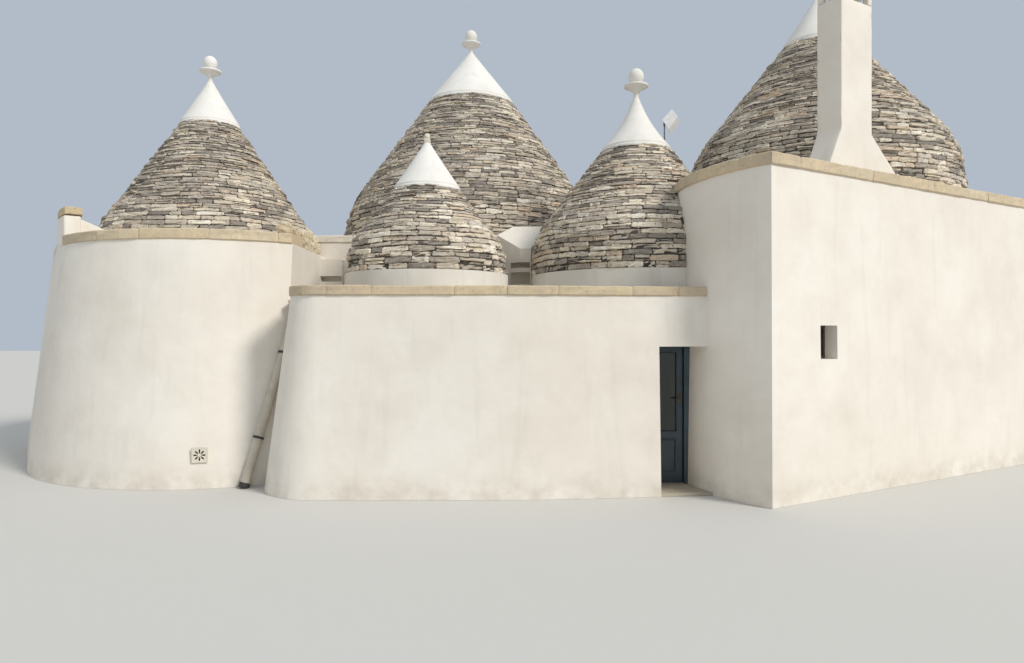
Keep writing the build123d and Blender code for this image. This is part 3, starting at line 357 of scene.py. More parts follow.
def painted_wood(name, light, dark):
    """Gloss paint over upright grain, worn in places."""
    shader = Shader(name, roughness=0.38)
    shader.surface.inputs["Coat Weight"].default_value = paint_coat
    cloud = shader.noise(scale=3.0, detail=5.0, roughness=0.6)
    tone = shader.patched(light, dark, cloud, low=0.35, high=0.7)
    worn = shader.noise(scale=22.0, detail=6.0, roughness=0.7)
    tone = shader.patched(tone, worn_paint, worn, low=0.66, high=0.74, top=0.5)
    upright = shader.stretched(60.0, 60.0, 3.0)
    shader.bump((shader.noise(scale=1.0, detail=5.0, roughness=0.6, place=upright), 0.35, 0.0012))
    return shader.paint(tone)


def clear_glass(name):
    shader = Shader(name, roughness=0.04)
    shader.surface.inputs["Transmission Weight"].default_value = 1.0
    shader.surface.inputs["IOR"].default_value = glass_index
    shader.bump((shader.noise(scale=3.0, detail=2.0, roughness=0.5), 0.08, 0.002))
    return shader.paint(glass_tone)


wall_plaster = whitewash("wall_plaster", wall_light, wall_dark, splash=0.40, streaks=0.14)
ring_plaster = whitewash("ring_plaster", (234, 230, 222), (214, 209, 200), splash=0.0, streaks=0.35)
deck_plaster = deck_wash("deck_plaster", (222, 214, 198), (196, 187, 170))
cap_plaster = whitewash("cap_plaster", (240, 238, 233), (227, 224, 217), splash=0.0, streaks=0.22)
cone_tones = (
    (225, 212, 191), (197, 186, 170), (244, 232, 212), (171, 161, 149), (214, 200, 181), (145, 137, 128),
    (235, 223, 201), (182, 170, 156), (246, 238, 222), (204, 192, 176), (157, 148, 138), (220, 208, 190),
    (218, 197, 172), (210, 200, 188), (133, 124, 116), (240, 228, 209),
)
cone_stone = stone("cone_stone", cone_tones, spots=0.80, grain_depth=0.005)
band_tones = (
    (216, 196, 162), (210, 190, 158), (220, 202, 170), (206, 188, 158), (214, 196, 166), (218, 198, 162),
)
band_stone = stone("band_stone", band_tones, spots=0.30, grain_depth=0.004)
limed_tones = ((232, 224, 208), (226, 217, 200), (236, 229, 214))
limed_stone = stone("limed_stone", limed_tones, spots=0.18, grain_depth=0.004)
rubble_tones = ((222, 204, 170), (208, 194, 168), (230, 216, 188), (212, 190, 152))
rubble = stone("rubble", rubble_tones, spots=0.34, grain_depth=0.005)
floor_stone = stone("floor_stone", ((186, 176, 158), (178, 168, 150)), spots=0.2)
# Dark backing that shows in the gaps between the dry-laid stones: partly their bedding, partly painted
# shade of the gaps
bedding_and_shade = plain("bedding_and_shade", (84, 79, 71), (52, 49, 45), roughness=0.95, scale=6.0, grain=0.004)
door_paint = painted_wood("door_paint", (52, 70, 80), (40, 54, 63))
window_paint = painted_wood("window_paint", (74, 70, 62), (52, 50, 46))
pane_glass = clear_glass("pane_glass")
handle_metal = plain("handle_metal", (96, 88, 76), (66, 60, 52), roughness=0.38, scale=18.0, metallic=0.8)
pipe_paint = plain("pipe_paint", (206, 198, 182), (182, 174, 158), roughness=0.5, scale=5.0)
pipe_dark = plain("pipe_dark", (70, 66, 62), (44, 42, 40), roughness=0.55, scale=8.0)
vent_glaze = plain("vent_glaze", (230, 224, 211), (208, 200, 184), roughness=0.5, scale=40.0)
# Painted shade: a near-black tone for the dark hole behind the vent's petals
hole_shade = plain("hole_shade", (40, 38, 35), (24, 23, 22), roughness=0.95, scale=10.0)
aerial_grey = plain("aerial_metal", (122, 124, 126), (94, 96, 98), roughness=0.42, scale=12.0, metallic=0.7)
aerial_white = plain("aerial_white", (240, 241, 240), (222, 223, 222), roughness=0.45, scale=12.0)

slot_materials = {
    "whitewash": wall_plaster, "cap_plaster": cap_plaster, "deck_plaster": deck_plaster,
    "limestone": band_stone, "dry_stone": bedding_and_shade, "floor_stone": floor_stone,
    "door_paint": door_paint, "window_paint": window_paint, "pane": pane_glass,
    "handle_metal": handle_metal, "pipe_paint": pipe_paint, "pipe_dark": pipe_dark,
    "vent_ceramic": vent_glaze, "aerial_metal": aerial_grey,
}
for part in frame["record"]["subparts"]:
    materials = nodes[part["node"]].data.materials
    materials.clear()
    materials.append(slot_materials[part["material_slot"]])
nodes["cone_rings"].data.materials[0] = ring_plaster


# Pieces

def new_object(name, data):
    made = bpy.data.objects.new(name, data)
    bpy.context.scene.collection.objects.link(made)
    return made


def piece(name, blocks, material, replaced=None, smooth=False, body=house):
    """New piece of the model, from blocks of points and faces."""
    points, faces = [], []
    for block_points, block_faces in blocks:
        first = len(points)
        points += [tuple(point) for point in block_points]
        faces += [tuple(first + index for index in face) for face in block_faces]
    mesh = bpy.data.meshes.new(name)
    mesh.from_pydata(points, [], faces)
    mesh.validate()
    mesh.update()
    made = new_object(name, mesh)
    mesh.materials.append(material)
    mesh.polygons.foreach_set("use_smooth", [smooth] * len(mesh.polygons))
    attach(made, body)
    if replaced:
        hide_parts(replaced)
    return made


def ring_faces(rings, wide, closed=False):
    """Faces between rings of points; closed joins the last ring to the first."""
    faces = []
    for ring in range(rings if closed else rings - 1):
        near, far = ring * wide, (ring + 1) % rings * wide
        for column in range(wide):
            beside = (column + 1) % wide
            faces.append([near + column, near + beside, far + beside, far + column])
    return faces


def solid_faces(rings, wide):
    """Faces between rings of points, and a face at each end."""
    ends = [list(range(wide - 1, -1, -1)), list(range((rings - 1) * wide, rings * wide))]
    return ring_faces(rings, wide) + ends


def shifted(point, distance, heading):
    return (point[0] + distance * cos(heading), point[1] + distance * sin(heading))


def corners(points):
    """Lowest and highest corner of some points."""
    spread = np.array(points)
    return Vector(spread.min(axis=0)), Vector(spread.max(axis=0))


def reaches(points, axis):
    """Heights of some points, and the greatest distance from an upright axis at each."""
    levels = {}
    for point in points:
        level = round(point.z, level_digits)
        levels[level] = max(levels.get(level, 0.0), hypot(point.x - axis[0], point.y - axis[1]))
    return sorted(levels.items())


def run_along(path):
    """Distance along a path at each of its points."""
    return np.concatenate([[0.0], np.cumsum(np.hypot(*np.diff(path, axis=0).T))])


# Stones of the cones

def stone_template(columns, rows):
    """Front of one stone as a grid with a rim, and a ring at its root, in shares of its size.

    The depth is 1 inside the rim, 0 on it and -1 at the root.
    """
    wide, high = len(columns), len(rows)
    count = wide * high
    grid = [(u, v) for v in rows for u in columns]
    faces = []
    for row in range(high - 1):
        for column in range(wide - 1):
            first = wide * row + column
            faces.append((first, first + 1, first + wide + 1, first + wide))
    rim = (
        list(range(wide)) + [wide * (row + 1) - 1 for row in range(1, high)]
        + list(range(count - 2, count - wide - 1, -1))
        + [wide * row for row in range(high - 2, 0, -1)]
    )
    for step in range(len(rim)):
        following = (step + 1) % len(rim)
        faces.append((rim[following], rim[step], count + step, count + following))
    for index in (0, wide - 1, count - wide, count - 1):
        u, v = grid[index]
        grid[index] = (u + (0.5 - u) * corner_pull[0], v + (0.5 - v) * corner_pull[1])
    places = np.array(grid + [grid[index] for index in rim])
    depth = np.array([0.0 if index in rim else 1.0 for index in range(count)] + [-1.0] * len(rim))
    return places, depth, np.array(faces), rim


template_places, template_depth, template_faces, template_rim = stone_template(stone_columns, stone_rows)


def cone_profile(node):
    """Axis of a cone and its outer outline from the foot up, read from the node's own mesh."""
    low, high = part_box(node)
    radius = (high[1] - low[1]) / 2
    axis = (low[0] + radius, low[1] + radius)
    outline = []
    for level, reach in reaches([vertex.co for vertex in nodes[node].data.vertices], axis):
        while len(outline) > 1:
            (z0, r0), (z1, r1) = outline[-2:]
            if (r1 - r0) * (level - z0) > (reach - r0) * (z1 - z0):
                break
            outline.pop()
        outline.append((level, reach))
    return axis, np.array(outline)


def inside_east(x, y):
    """True well inside the plan of the east block."""
    if y > flank_centre[1]:
        return x > flank_centre[0] - flank_radius + east_batter + east_margin
    return hypot(x - flank_centre[0], y - flank_centre[1]) < flank_radius - east_batter - east_margin


def cone_blocks(node, outline, run, axis):
    """Start, height, angle, sweep and radius of every stone of a cone, course by course."""
    east_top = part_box("east_cornice")[1][2]
    blocks = []
    start = 0.0
    while start < run[-1] - least_rest:
        thinned = min(1.0, thinning * (start / run[-1]))
        height = (foot_course + (head_course - foot_course) * thinned) * random.uniform(*course_spread)
        if run[-1] - start - height < head_course / 2:
            height = run[-1] - start
        level, radius = (np.interp(start + height / 2, run, outline[:, column]) for column in range(2))
        angle = random.uniform(0, full_turn)
        end_angle = angle + full_turn
        while angle < end_angle:
            sweep = random.uniform(*stone_length) / radius
            if end_angle - angle - sweep < stone_length[0] / radius:
                sweep = end_angle - angle
            middle = angle + sweep / 2
            in_east = level < east_top and inside_east(*shifted(axis, radius, middle))
            if not (in_east and node == "door_cone"):
                if random.random() < split_share:
                    lower = height * random.uniform(*split_place)
                    blocks.append((start, lower, angle, sweep, radius))
                    blocks.append((start + lower, height - lower, angle, sweep, radius))
                else:
                    blocks.append((start, height, angle, sweep, radius))
            angle += sweep
        start += height
    return np.array(blocks)


def course_wave(turn, start, radius):
    """How far the courses wander up and down."""
    phase = random.uniform(0, full_turn, 2)
    wave = sum(
        rise * np.sin(waves * turn + own + shift * start)
        for own, (rise, waves, shift) in zip(phase, course_waves)
    )
    rise, waves, shift = short_wave
    return wave + rise * np.sin(turn * waves * radius + phase[0] + shift * start)


def cone_stones(node):
    """Dry-laid courses on a cone, each stone a little different in outline, face and tilt."""
    axis, outline = cone_profile(node)
    run = run_along(outline)
    blocks = cone_blocks(node, outline, run, axis)
    count, size = len(blocks), len(template_places)
    start, height, angle, sweep, radius = (blocks[:, column, None] for column in range(5))
    u, v = (np.broadcast_to(template_places[:, column], (count, size)) for column in range(2))

    # Chips move each point sideways, up and out, and the root goes with the rim
    chips = random.normal(0, 1.0, (3, count, size - len(template_rim)))
    chips = np.concatenate((chips, chips[:, :, template_rim]), axis=2)
    chip_side, chip_up, chip_out = (most * chip for most, chip in zip(chip_sizes, chips))

    # Angle round the cone and distance up the slope
    gap = stone_gap / radius
    lean = random.uniform(-1, 1, (count, 4)) * np.array([side_lean, side_lean, bed_lean, bed_lean])
    left, right, bottom, top = (lean[:, column, None] for column in range(4))
    turn = angle + gap / 2 + u * (sweep - gap) + (left * (1 - u) + right * u) * (v - 0.5) / radius
    turn = turn + chip_side / radius
    along = start + course_gap / 2 + v * (height - course_gap)
    along = along + (bottom * (1 - v) + top * v) * (u - 0.5)
    ends = np.minimum(start / wave_fade, (run[-1] - start - height) / wave_fade)
    wave = course_wave(turn, start, radius)
    lift = random.uniform(-stone_lift, stone_lift, (count, 1))
    along = np.clip(along + chip_up + (wave + lift) * np.clip(ends, 0, 1), 0.0, run[-1])

    # Distance from the axis: each face stands a little more upright than the slope, and tilts
    lower, upper = (np.interp(place, run, outline[:, 1]) for place in (start, start + height))
    least, most = stone_proud
    proud = least + (most - least) * random.uniform(0, 1, (count, 1)) ** proud_power
    tilt = random.uniform(-face_tilt, face_tilt, (count, 2))
    front = proud + face_upright * v * (lower - upper) + chip_out
    front = front + tilt[:, :1] * (u - 0.5) + tilt[:, 1:] * (v - 0.5)
    depth = np.broadcast_to(template_depth, (count, size))
    out = np.where(depth > 0, front, np.where(depth < 0, -stone_root, front - rim_set_back))
    level, reach = (np.interp(along, run, outline[:, column]) for column in range(2))
    reach = reach + out
    points = np.stack((axis[0] + reach * np.cos(turn), axis[1] + reach * np.sin(turn), level), axis=-1)
    faces = (template_faces[None] + (np.arange(count) * size)[:, None, None]).reshape(-1, 4)
    piece(f"{node}_stones", [(points.reshape(-1, 3), faces)], cone_stone)


for cone in cone_names:
    cone_stones(cone)


# Stones of the cornices and copings

def arc(centre, radius, start, end, step=arc_step):
    count = max(2, int(abs(end - start) / step) + 1)
    return [shifted(centre, radius, turn) for turn in np.linspace(start, end, count)]


def inward_path(points, width, closed):
    """The line that runs width to the left of a path, with mitred corners."""
    points = np.array(points)
    count = len(points)
    result = []
    for index in range(count):
        before = points[index] - points[index - 1] if closed or index else points[1] - points[0]
        after = points[(index + 1) % count] - points[index] if closed or index < count - 1 else before
        first = np.array((-before[1], before[0])) / np.hypot(*before)
        second = np.array((-after[1], after[0])) / np.hypot(*after)
        middle = first + second
        middle /= np.hypot(*middle)
        result.append(points[index] + middle * width / max(least_mitre, float(middle @ first)))
    return np.array(result)


def faced_outward(made, cut_at):
    """Turns a piece's faces outward, and cuts off what lies beyond cut_at in X, if given."""
    work = bmesh.new()
    work.from_mesh(made.data)
    bmesh.ops.recalc_face_normals(work, faces=work.faces)
    if cut_at is not None:
        parts = work.verts[:] + work.edges[:] + work.faces[:]
        cut = bmesh.ops.bisect_plane(
            work, geom=parts, plane_co=(cut_at, 0, 0), plane_no=(1, 0, 0), clear_outer=True,
        )
        edges = [item for item in cut["geom_cut"] if isinstance(item, bmesh.types.BMEdge)]
        bmesh.ops.edgeloop_fill(work, edges=edges)
        bmesh.ops.recalc_face_normals(work, faces=work.faces)
    work.to_mesh(made.data)
    work.free()


def block_section(height):
    """Outline of a block across the wall: distances inward and up, from its outer foot."""
    return [
        (0.0, arris), (0.0, height / 2), (0.0, height - arris), (arris, height), (band_width / 2, height),
        (band_width - arris, height), (band_width, height - arris), (band_width, 0.0), (arris, 0.0),
    ]


def hewn_block(start, length, lines, run, bottom, height):
    """Points and faces of one block of a band, rough on its outer face and top."""
    low, high = start + block_end_zone, start + length - block_end_zone
    steps = {start + block_gap / 2, start + length - block_gap / 2, *np.linspace(low, high, block_steps)}
    steps = sorted(steps | {value for value in run if low < value < high})
    set_out, lift = random.uniform(*block_set_out), random.uniform(*block_lift)
    seed = Vector(random.uniform(0, seed_span, 3))
    section = block_section(height)
    points = []
    for along in steps:
        end_wear = block_end_wear if along in (steps[0], steps[-1]) else 0.0
        outer, inner = (
            np.array([np.interp(along, run, line[:, axis]) for axis in range(2)]) for line in lines
        )
        for across, up in section:
            place = Vector(value * scale for value, scale in zip((along, up, across), block_rough_scale))
            rough = noise.noise(place + seed) * block_rough
            share = across / band_width
            if across < band_width / 2:
                moved = share - (set_out + rough - end_wear) / band_width
                share = max(0.0, moved) if across else moved
            raised = lift + rough * block_top_rough - end_wear if up > height / 2 else 0.0
            x, y = outer + (inner - outer) * share
            points.append((x, y, bottom + min(max(up + raised, 0.0), height)))
    return points, solid_faces(len(steps), len(section))


def band_stones(name, path, height, replaced, material, closed=False, cut_at=None):
    """Row of hewn blocks along a plan path, with the inner side on its left."""
    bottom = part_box(replaced)[0][2]
    lines = [np.array(path), inward_path(path, band_width, closed)]
    if closed:
        lines = [np.vstack((line, line[:1])) for line in lines]
    run = run_along(lines[0])
    blocks = []
    start = 0.0
    while start < run[-1] - least_rest:
        length = random.uniform(*block_length)
        if run[-1] - start - length < block_length[0] / 2:
            length = run[-1] - start
        blocks.append(hewn_block(start, length, lines, run, bottom, height))
        start += length
    faced_outward(piece(name, blocks, material, replaced), cut_at)


west_edge = west_top_radius + band_overhang
west_far = shifted(west_nose, west_length, west_heading)
west_left = west_heading + quarter
west_path = (
    arc(west_nose, west_edge, west_left + asin(-pier_start / west_edge), west_left + pi)
    + arc(west_far, west_edge, west_heading - quarter, west_flush_from)
)
west_end = party_x - party_clearance
band_stones("west_cornice_stones", west_path, cornice_height, "west_cornice", band_stone, cut_at=west_end)
flush_path = (
    arc(west_far, west_top_radius, west_flush_from + block_gap, west_left)
    + [shifted(shifted(west_nose, pier_end, west_heading), west_top_radius, west_left)]
)
band_stones("west_cornice_flush", flush_path, cornice_height, "west_cornice", limed_stone)

edge_in = east_batter - band_overhang
flank_edge = flank_radius - edge_in
front_normal = east_heading + quarter
corner_heading = pi + flank_angle
front_start = shifted(shifted(flank_centre, flank_radius, corner_heading), edge_in, front_normal)
half_run = -flank_radius * cos(corner_heading - east_heading)
corner_term = 2 * edge_in * flank_radius * (1 + cos(corner_heading - front_normal))
east_corner = shifted(front_start, half_run - (half_run ** 2 - corner_term) ** 0.5, east_heading)
front_end = shifted(front_start, east_front_length - edge_in, east_heading)
back_end = shifted(front_end, east_depth - 2 * edge_in, front_normal)
back_run = (back_end[0] - (flank_centre[0] - flank_edge)) / cos(east_heading)
corner_turn = atan2(east_corner[1] - flank_centre[1], east_corner[0] - flank_centre[0]) % full_turn
east_path = (
    arc(flank_centre, flank_edge, pi, corner_turn)
    + [front_end, back_end, shifted(back_end, -back_run, east_heading)]
)
band_stones("east_cornice_stones", east_path, cornice_height, "east_cornice", band_stone, closed=True)

rear_edge_y = rear_front_y - band_overhang
rear_path = [
    (rear_right_x + band_overhang, rear_end_y),
    (rear_right_x + band_overhang, rear_back_y + band_overhang),
    (rear_left_x - band_overhang, rear_back_y + band_overhang),
    (rear_left_x - band_overhang, rear_edge_y),
    (slant_start_x + band_overhang * tan(slant_heading / 2), rear_edge_y),
    (slant_start_x + slant_back / tan(slant_heading), rear_edge_y + slant_back),
]
band_stones("rear_coping_stones", rear_path, coping_height, "rear_coping", limed_stone)

centre_edge_y = centre_front_y - band_overhang
bend_radius = centre_bend_half / tan(centre_bend_angle / 2)
centre_path = (
    [(centre_left_x - band_overhang, centre_recess_y)]
    + arc(
        (centre_left_x + centre_corner_radius, centre_front_y + centre_corner_radius),
        centre_corner_radius + band_overhang, pi, pi + quarter, corner_step,
    )
    + arc(
        (centre_bend_x - centre_bend_half, centre_edge_y + bend_radius), bend_radius, -quarter,
        -quarter + centre_bend_angle, centre_bend_angle / centre_bend_steps,
    )
    + [(centre_end_x, centre_edge_y + (centre_end_x - centre_bend_x) * tan(centre_bend_angle))]
)
band_stones("centre_coping_stones", centre_path, coping_height, "centre_coping", band_stone)


# Rough stones, and plaster with soft arrises

boulder_cuts = 6
boulder_chip = 0.20
boulder_wear = ((2.2, 0.8), (6.0, 0.45))
mean_wear = 0.5
flat_edge = radians(1.5)
sharp_edge = radians(24)
halvings = 5
uneven = ((5.5, 1.0), (14.0, 0.5))


def layered_noise(place, layers, middle, offset=Vector()):
    """A middle value and layers of noise over it, each a scale and a share."""
    return sum((share * noise.noise(place * scale + offset) for scale, share in layers), middle)


def welded(node):
    """A node's mesh as a bmesh, with its points welded."""
    work = bmesh.new()
    work.from_mesh(nodes[node].data)
    bmesh.ops.remove_doubles(work, verts=work.verts, dist=weld)
    return work


def read_out(work):
    """Points and faces of a bmesh, which is freed."""
    work.verts.index_update()
    points = [vertex.co.copy() for vertex in work.verts]
    faces = [[vertex.index for vertex in face.verts] for face in work.faces]
    work.free()
    return points, faces


def loose_parts(node):
    """Points and faces of each loose solid of a node, from left to right."""
    work = welded(node)
    work.verts.ensure_lookup_table()
    taken, parts = set(), []
    for first in work.verts:
        if first.index in taken:
            continue
        queue, group = [first], {first.index}
        while queue:
            for edge in queue.pop().link_edges:
                for vertex in edge.verts:
                    if vertex.index not in group:
                        group.add(vertex.index)
                        queue.append(vertex)
        taken |= group
        order = {index: number for number, index in enumerate(sorted(group))}
        points = [work.verts[index].co.copy() for index in order]
        faces = [
            [order[vertex.index] for vertex in face.verts]
            for face in work.faces if face.verts[0].index in group
        ]
        parts.append((points, faces))
    work.free()
    return sorted(parts, key=lambda part: min(point.x for point in part[0]))


def boulder(low, high, seed, roundness=0.42):
    """Points and faces of a weathered stone between two corners."""
    work = bmesh.new()
    bmesh.ops.create_cube(work, size=1.0)
    bmesh.ops.subdivide_edges(work, edges=work.edges[:], cuts=boulder_cuts, use_grid_fill=True)
    middle, span = (Vector(low) + Vector(high)) / 2, Vector(high) - Vector(low)
    for vertex in work.verts:
        place = vertex.co.lerp(vertex.co.normalized() * 0.5, roundness)
        place = place * (1 - boulder_chip * layered_noise(place, boulder_wear, mean_wear, Vector(seed)))
        vertex.co = middle + Vector(part * whole for part, whole in zip(place, span))
    return read_out(work)


def softened(node, material, width, segments=3, rough=0.003, spacing=0.12):
    """A node's shape again, with rounded arrises and slightly uneven faces."""
    work = welded(node)
    bmesh.ops.dissolve_limit(work, angle_limit=flat_edge, verts=work.verts[:], edges=work.edges[:])
    sharp = [edge for edge in work.edges if edge.calc_face_angle(0.0) > sharp_edge]
    bmesh.ops.bevel(
        work, geom=sharp, offset=width, segments=segments, profile=0.5, affect="EDGES", clamp_overlap=True,
    )
    bmesh.ops.triangulate(work, faces=work.faces[:])
    for _ in range(halvings):
        long_edges = [edge for edge in work.edges if edge.calc_length() > spacing]
        if not long_edges:
            break
        bmesh.ops.subdivide_edges(work, edges=long_edges, cuts=1)
        bmesh.ops.triangulate(work, faces=[face for face in work.faces if len(face.verts) > 3])
    work.normal_update()
    moves = [vertex.normal * -rough * layered_noise(vertex.co, uneven, 1.0) for vertex in work.verts]
    for vertex, move in zip(work.verts, moves):
        vertex.co += move
    piece(f"{node}_soft", [read_out(work)], material, node, smooth=True)


# Rough stones on the edge of the west deck, a lower and an upper one each

peak_place = -1.64
peak_rise = 0.10
edge_bed = (0.52, 0.62)
bed_overlap = 0.03
upper_inset = 0.05
upper_roundness = 0.7
seed_step = 7
lower_seed, upper_seed = (3, 5), (9, 2)
stones = []
for number, (points, _) in enumerate(loose_parts("edge_stones")):
    low, high = corners(points)
    bed = low.z + (high.z - low.z) * random.uniform(*edge_bed)
    if low.y < peak_place < high.y:
        high.z += peak_rise
    left, front, right, back = (random.uniform(0.0, upper_inset) for side in range(4))
    stones.append(boulder(low, (high.x, high.y, bed + bed_overlap), (seed_step * number, *lower_seed)))
    stones.append(boulder(
        (low.x + left, low.y + front, bed - bed_overlap), (high.x - right, high.y - back, high.z),
        (seed_step * number, *upper_seed), upper_roundness,
    ))
piece("edge_stones_rough", stones, rubble, "edge_stones")

softened("west_pier", wall_plaster, width=0.030)
softened("west_pier_cap", rubble, width=0.045, segments=4, rough=0.008, spacing=0.05)
softened("chimney", wall_plaster, width=0.024)
softened("chimney_cap", wall_plaster, width=0.014)


# Finials: turned ones as they are, and two rough stones on the small cone

turned_height = 0.3
finial_bed = 0.55
finial_root = 0.03
finial_overlap = 0.02
finial_inset = (0.012, 0.010, 0.006, 0.014)
finial_roundness = 0.8
finial_seeds = ((4, 4, 1), (1, 6, 8))
turned, rough_stones = [], []
for finial in loose_parts("cone_finials"):
    low, high = corners(finial[0])
    if high.z - low.z > turned_height:
        turned.append(finial)
        continue
    bed = low.z + (high.z - low.z) * finial_bed
    left, front, right, back = finial_inset
    low.z -= finial_root
    rough_stones.append(boulder(low, (high.x, high.y, bed), finial_seeds[0]))
    rough_stones.append(boulder(
        (low.x + left, low.y + front, bed - finial_overlap), (high.x - right, high.y - back, high.z),
        finial_seeds[1], finial_roundness,
    ))
piece("cone_finials_turned", turned, cap_plaster, "cone_finials", smooth=True)
piece("small_finial_stones", rough_stones, limed_stone, "cone_finials", smooth=True)


# Plaster that runs unevenly over the top courses, at the foot of each cap

foot_steps = 120
foot_rise = 0.035
foot_drop = (0.006, 0.050)
foot_scale = 2.2
foot_wander = ((1.0, 0.7), (4.0, 0.5))
foot_skin = 0.004
foot_lip = 0.006
foot_out = (0.036, 0.028, -0.010)
foot_inside = 0.060
foot_inside_drop = 0.01
foot_seed_step = 5.0


def cap_foot(number, points):
    """Ring of plaster at the foot of one cap, with a wandering lower edge."""
    low, high = corners(points)
    axis = ((low.x + high.x) / 2, (low.y + high.y) / 2)

    def distance(cone):
        cone_low, cone_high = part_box(cone)
        return hypot(*(middle - (a + b) / 2 for middle, a, b in zip(axis, cone_low, cone_high)))

    outline = cone_profile(min(cone_names, key=distance))[1]
    heights, cap_reach = zip(*reaches(points, axis))
    top, third = low.z + foot_rise, low.z + foot_rise / 3
    belly, edge, back = foot_out
    ring, faces = [], []
    for step in range(foot_steps):
        turn = full_turn * step / foot_steps
        seed = Vector((*shifted((0, 0), foot_scale, turn), foot_seed_step * number))
        share = layered_noise(seed, foot_wander, 0.5)
        foot = low.z - np.interp(share, (0.0, 1.0), foot_drop)
        under = np.interp(foot, outline[:, 0], outline[:, 1])
        section = (
            (np.interp(top, heights, cap_reach) - foot_skin, top),
            (np.interp(third, heights, cap_reach) + foot_skin, third),
            (under + belly, foot + foot_lip),
            (under + edge, foot),
            (under + back, foot),
            (cap_reach[0] - foot_inside, top - foot_inside_drop),
        )
        ring += [Vector((*shifted(axis, reach, turn), height)) for reach, height in section]
        near, far = step * len(section), (step + 1) % foot_steps * len(section)
        for column in range(len(section)):
            beside = (column + 1) % len(section)
            faces.append([near + beside, far + beside, far + column, near + column])
    return ring, faces


feet = [cap_foot(number, points) for number, (points, _) in enumerate(loose_parts("cone_caps"))]
piece("cap_feet", feet, cap_plaster, smooth=True)


# Pierced face of the vent in the drum

vent_heading = radians(282)
vent_half = 0.094
vent_hole = 0.082
vent_hole_sides = 40
vent_scallop = 0.003
vent_teeth = 12
rim_width = 0.010
petals = 8
petal_sides = 16
petal_reach = (0.016, 0.077)
petal_half_width = 0.0145
petal_taper = (0.75, 0.35)


def sheet(loops, thickness, bevel):
    """Flat plate with holes, in the plane of its own x and y, as points and faces."""
    curve = bpy.data.curves.new("sheet", "CURVE")
    curve.dimensions = "2D"
    curve.fill_mode = "BOTH"
    curve.extrude = thickness / 2
    curve.bevel_depth = bevel
    curve.bevel_resolution = 1
    for loop in loops:
        spline = curve.splines.new("POLY")
        spline.points.add(len(loop) - 1)
        for point, (x, y) in zip(spline.points, loop):
            point.co = (x, y, 0.0, 1.0)
        spline.use_cyclic_u = True
    holder = bpy.data.objects.new("sheet", curve)
    mesh = bpy.data.meshes.new_from_object(holder)
    points = [vertex.co.copy() for vertex in mesh.vertices]
    faces = [list(polygon.vertices) for polygon in mesh.polygons]
    bpy.data.objects.remove(holder)
    bpy.data.curves.remove(curve)
    bpy.data.meshes.remove(mesh)
    return points, faces


def rotated(x, y, turn):
    return (x * cos(turn) - y * sin(turn), x * sin(turn) + y * cos(turn))


def petal(turn):
    near, far = petal_reach
    loop = []
    for share in np.linspace(0, full_turn, petal_sides, endpoint=False):
        along = (near + far) / 2 + (far - near) / 2 * cos(share)
        across = petal_half_width * sin(share) * (petal_taper[0] + petal_taper[1] * cos(share))
        loop.append(rotated(along, across, turn))
    return loop


def square(half, wave=0.0):
    """Square outline, with a scalloped edge if wave is given."""
    loop = []
    for side in range(4):
        turn = quarter * side
        for step in range(vent_teeth):
            along = -half + 2 * half * step / vent_teeth
            across = half - wave * (step % 2)
            loop.append(rotated(across, along, turn))
    return loop


vent_points = np.array([tuple(vertex.co) for vertex in nodes["rosette_vent"].data.vertices])
vent_out = np.array((cos(vent_heading), sin(vent_heading), 0.0))
vent_side = np.array((-sin(vent_heading), cos(vent_heading), 0.0))
vent_face = float((vent_points @ vent_out).max())
vent_across = float((vent_points @ vent_side).min() + (vent_points @ vent_side).max()) / 2
vent_level = float(vent_points[:, 2].min() + vent_points[:, 2].max()) / 2


def on_vent(loops, thickness, bevel, proud):
    points, faces = sheet(loops, thickness, bevel)
    placed = [
        Vector(vent_side * (vent_across + point.x) + vent_out * (vent_face + proud + point.z))
        + Vector((0.0, 0.0, vent_level + point.y))
        for point in points
    ]
    return placed, faces


hole_turns = np.linspace(0, full_turn, vent_hole_sides, endpoint=False)
hole = [shifted((0, 0), vent_hole, turn) for turn in hole_turns]
rose = [square(vent_half, vent_scallop)] + [petal(full_turn * number / petals) for number in range(petals)]
rim = [square(vent_half), square(vent_half - rim_width)]
plates = [
    on_vent(rose, thickness=0.004, bevel=0.001, proud=0.005),
    on_vent(rim, thickness=0.004, bevel=0.0015, proud=0.009),
]
# A dark disc on the wall behind the rose: painted shade of the hole, seen through the petals
piece("vent_shadow", [on_vent([hole], thickness=0.001, bevel=0.0, proud=0.001)], hole_shade)
piece("vent_rose", plates, vent_glaze)


# Aerial: a thin mast with a clamp, and a folded white reflector

mast_radius = 0.012
mast_top = 5.735
clamp_radius = 0.020
clamp_span = (5.66, 5.70)
arm_radius = 0.009
arm_behind, arm_low = 0.02, 5.70
arm_right, arm_end_y, arm_high = 0.09, -0.444, 5.75
aerial_y = -0.448
reflector_corners = ((2.299, 5.756), (2.409, 5.590), (2.573, 5.809), (2.473, 5.940))
fold = Vector((0.052, 0.085, -0.072))
reflector_thickness = 0.008
mast_foot_zone = 0.01
tube_sides = 14
tube_rings = ((0.0, 0.8), (0.004, 1.0), (0.996, 1.0), (1.0, 0.8))
slab_rings = ((-0.5, 0.985), (-0.3, 1.0), (0.3, 1.0), (0.5, 0.985))


def tube(start, end, radius):
    """Closed round bar between two points."""
    start, end = Vector(start), Vector(end)
    aim = (end - start).to_track_quat("Z", "Y")
    points = []
    for share, size in tube_rings:
        for step in range(tube_sides):
            spoke = shifted((0, 0), radius * size, full_turn * step / tube_sides)
            points.append(start.lerp(end, share) + aim @ Vector((*spoke, 0)))
    return points, solid_faces(len(tube_rings), tube_sides)


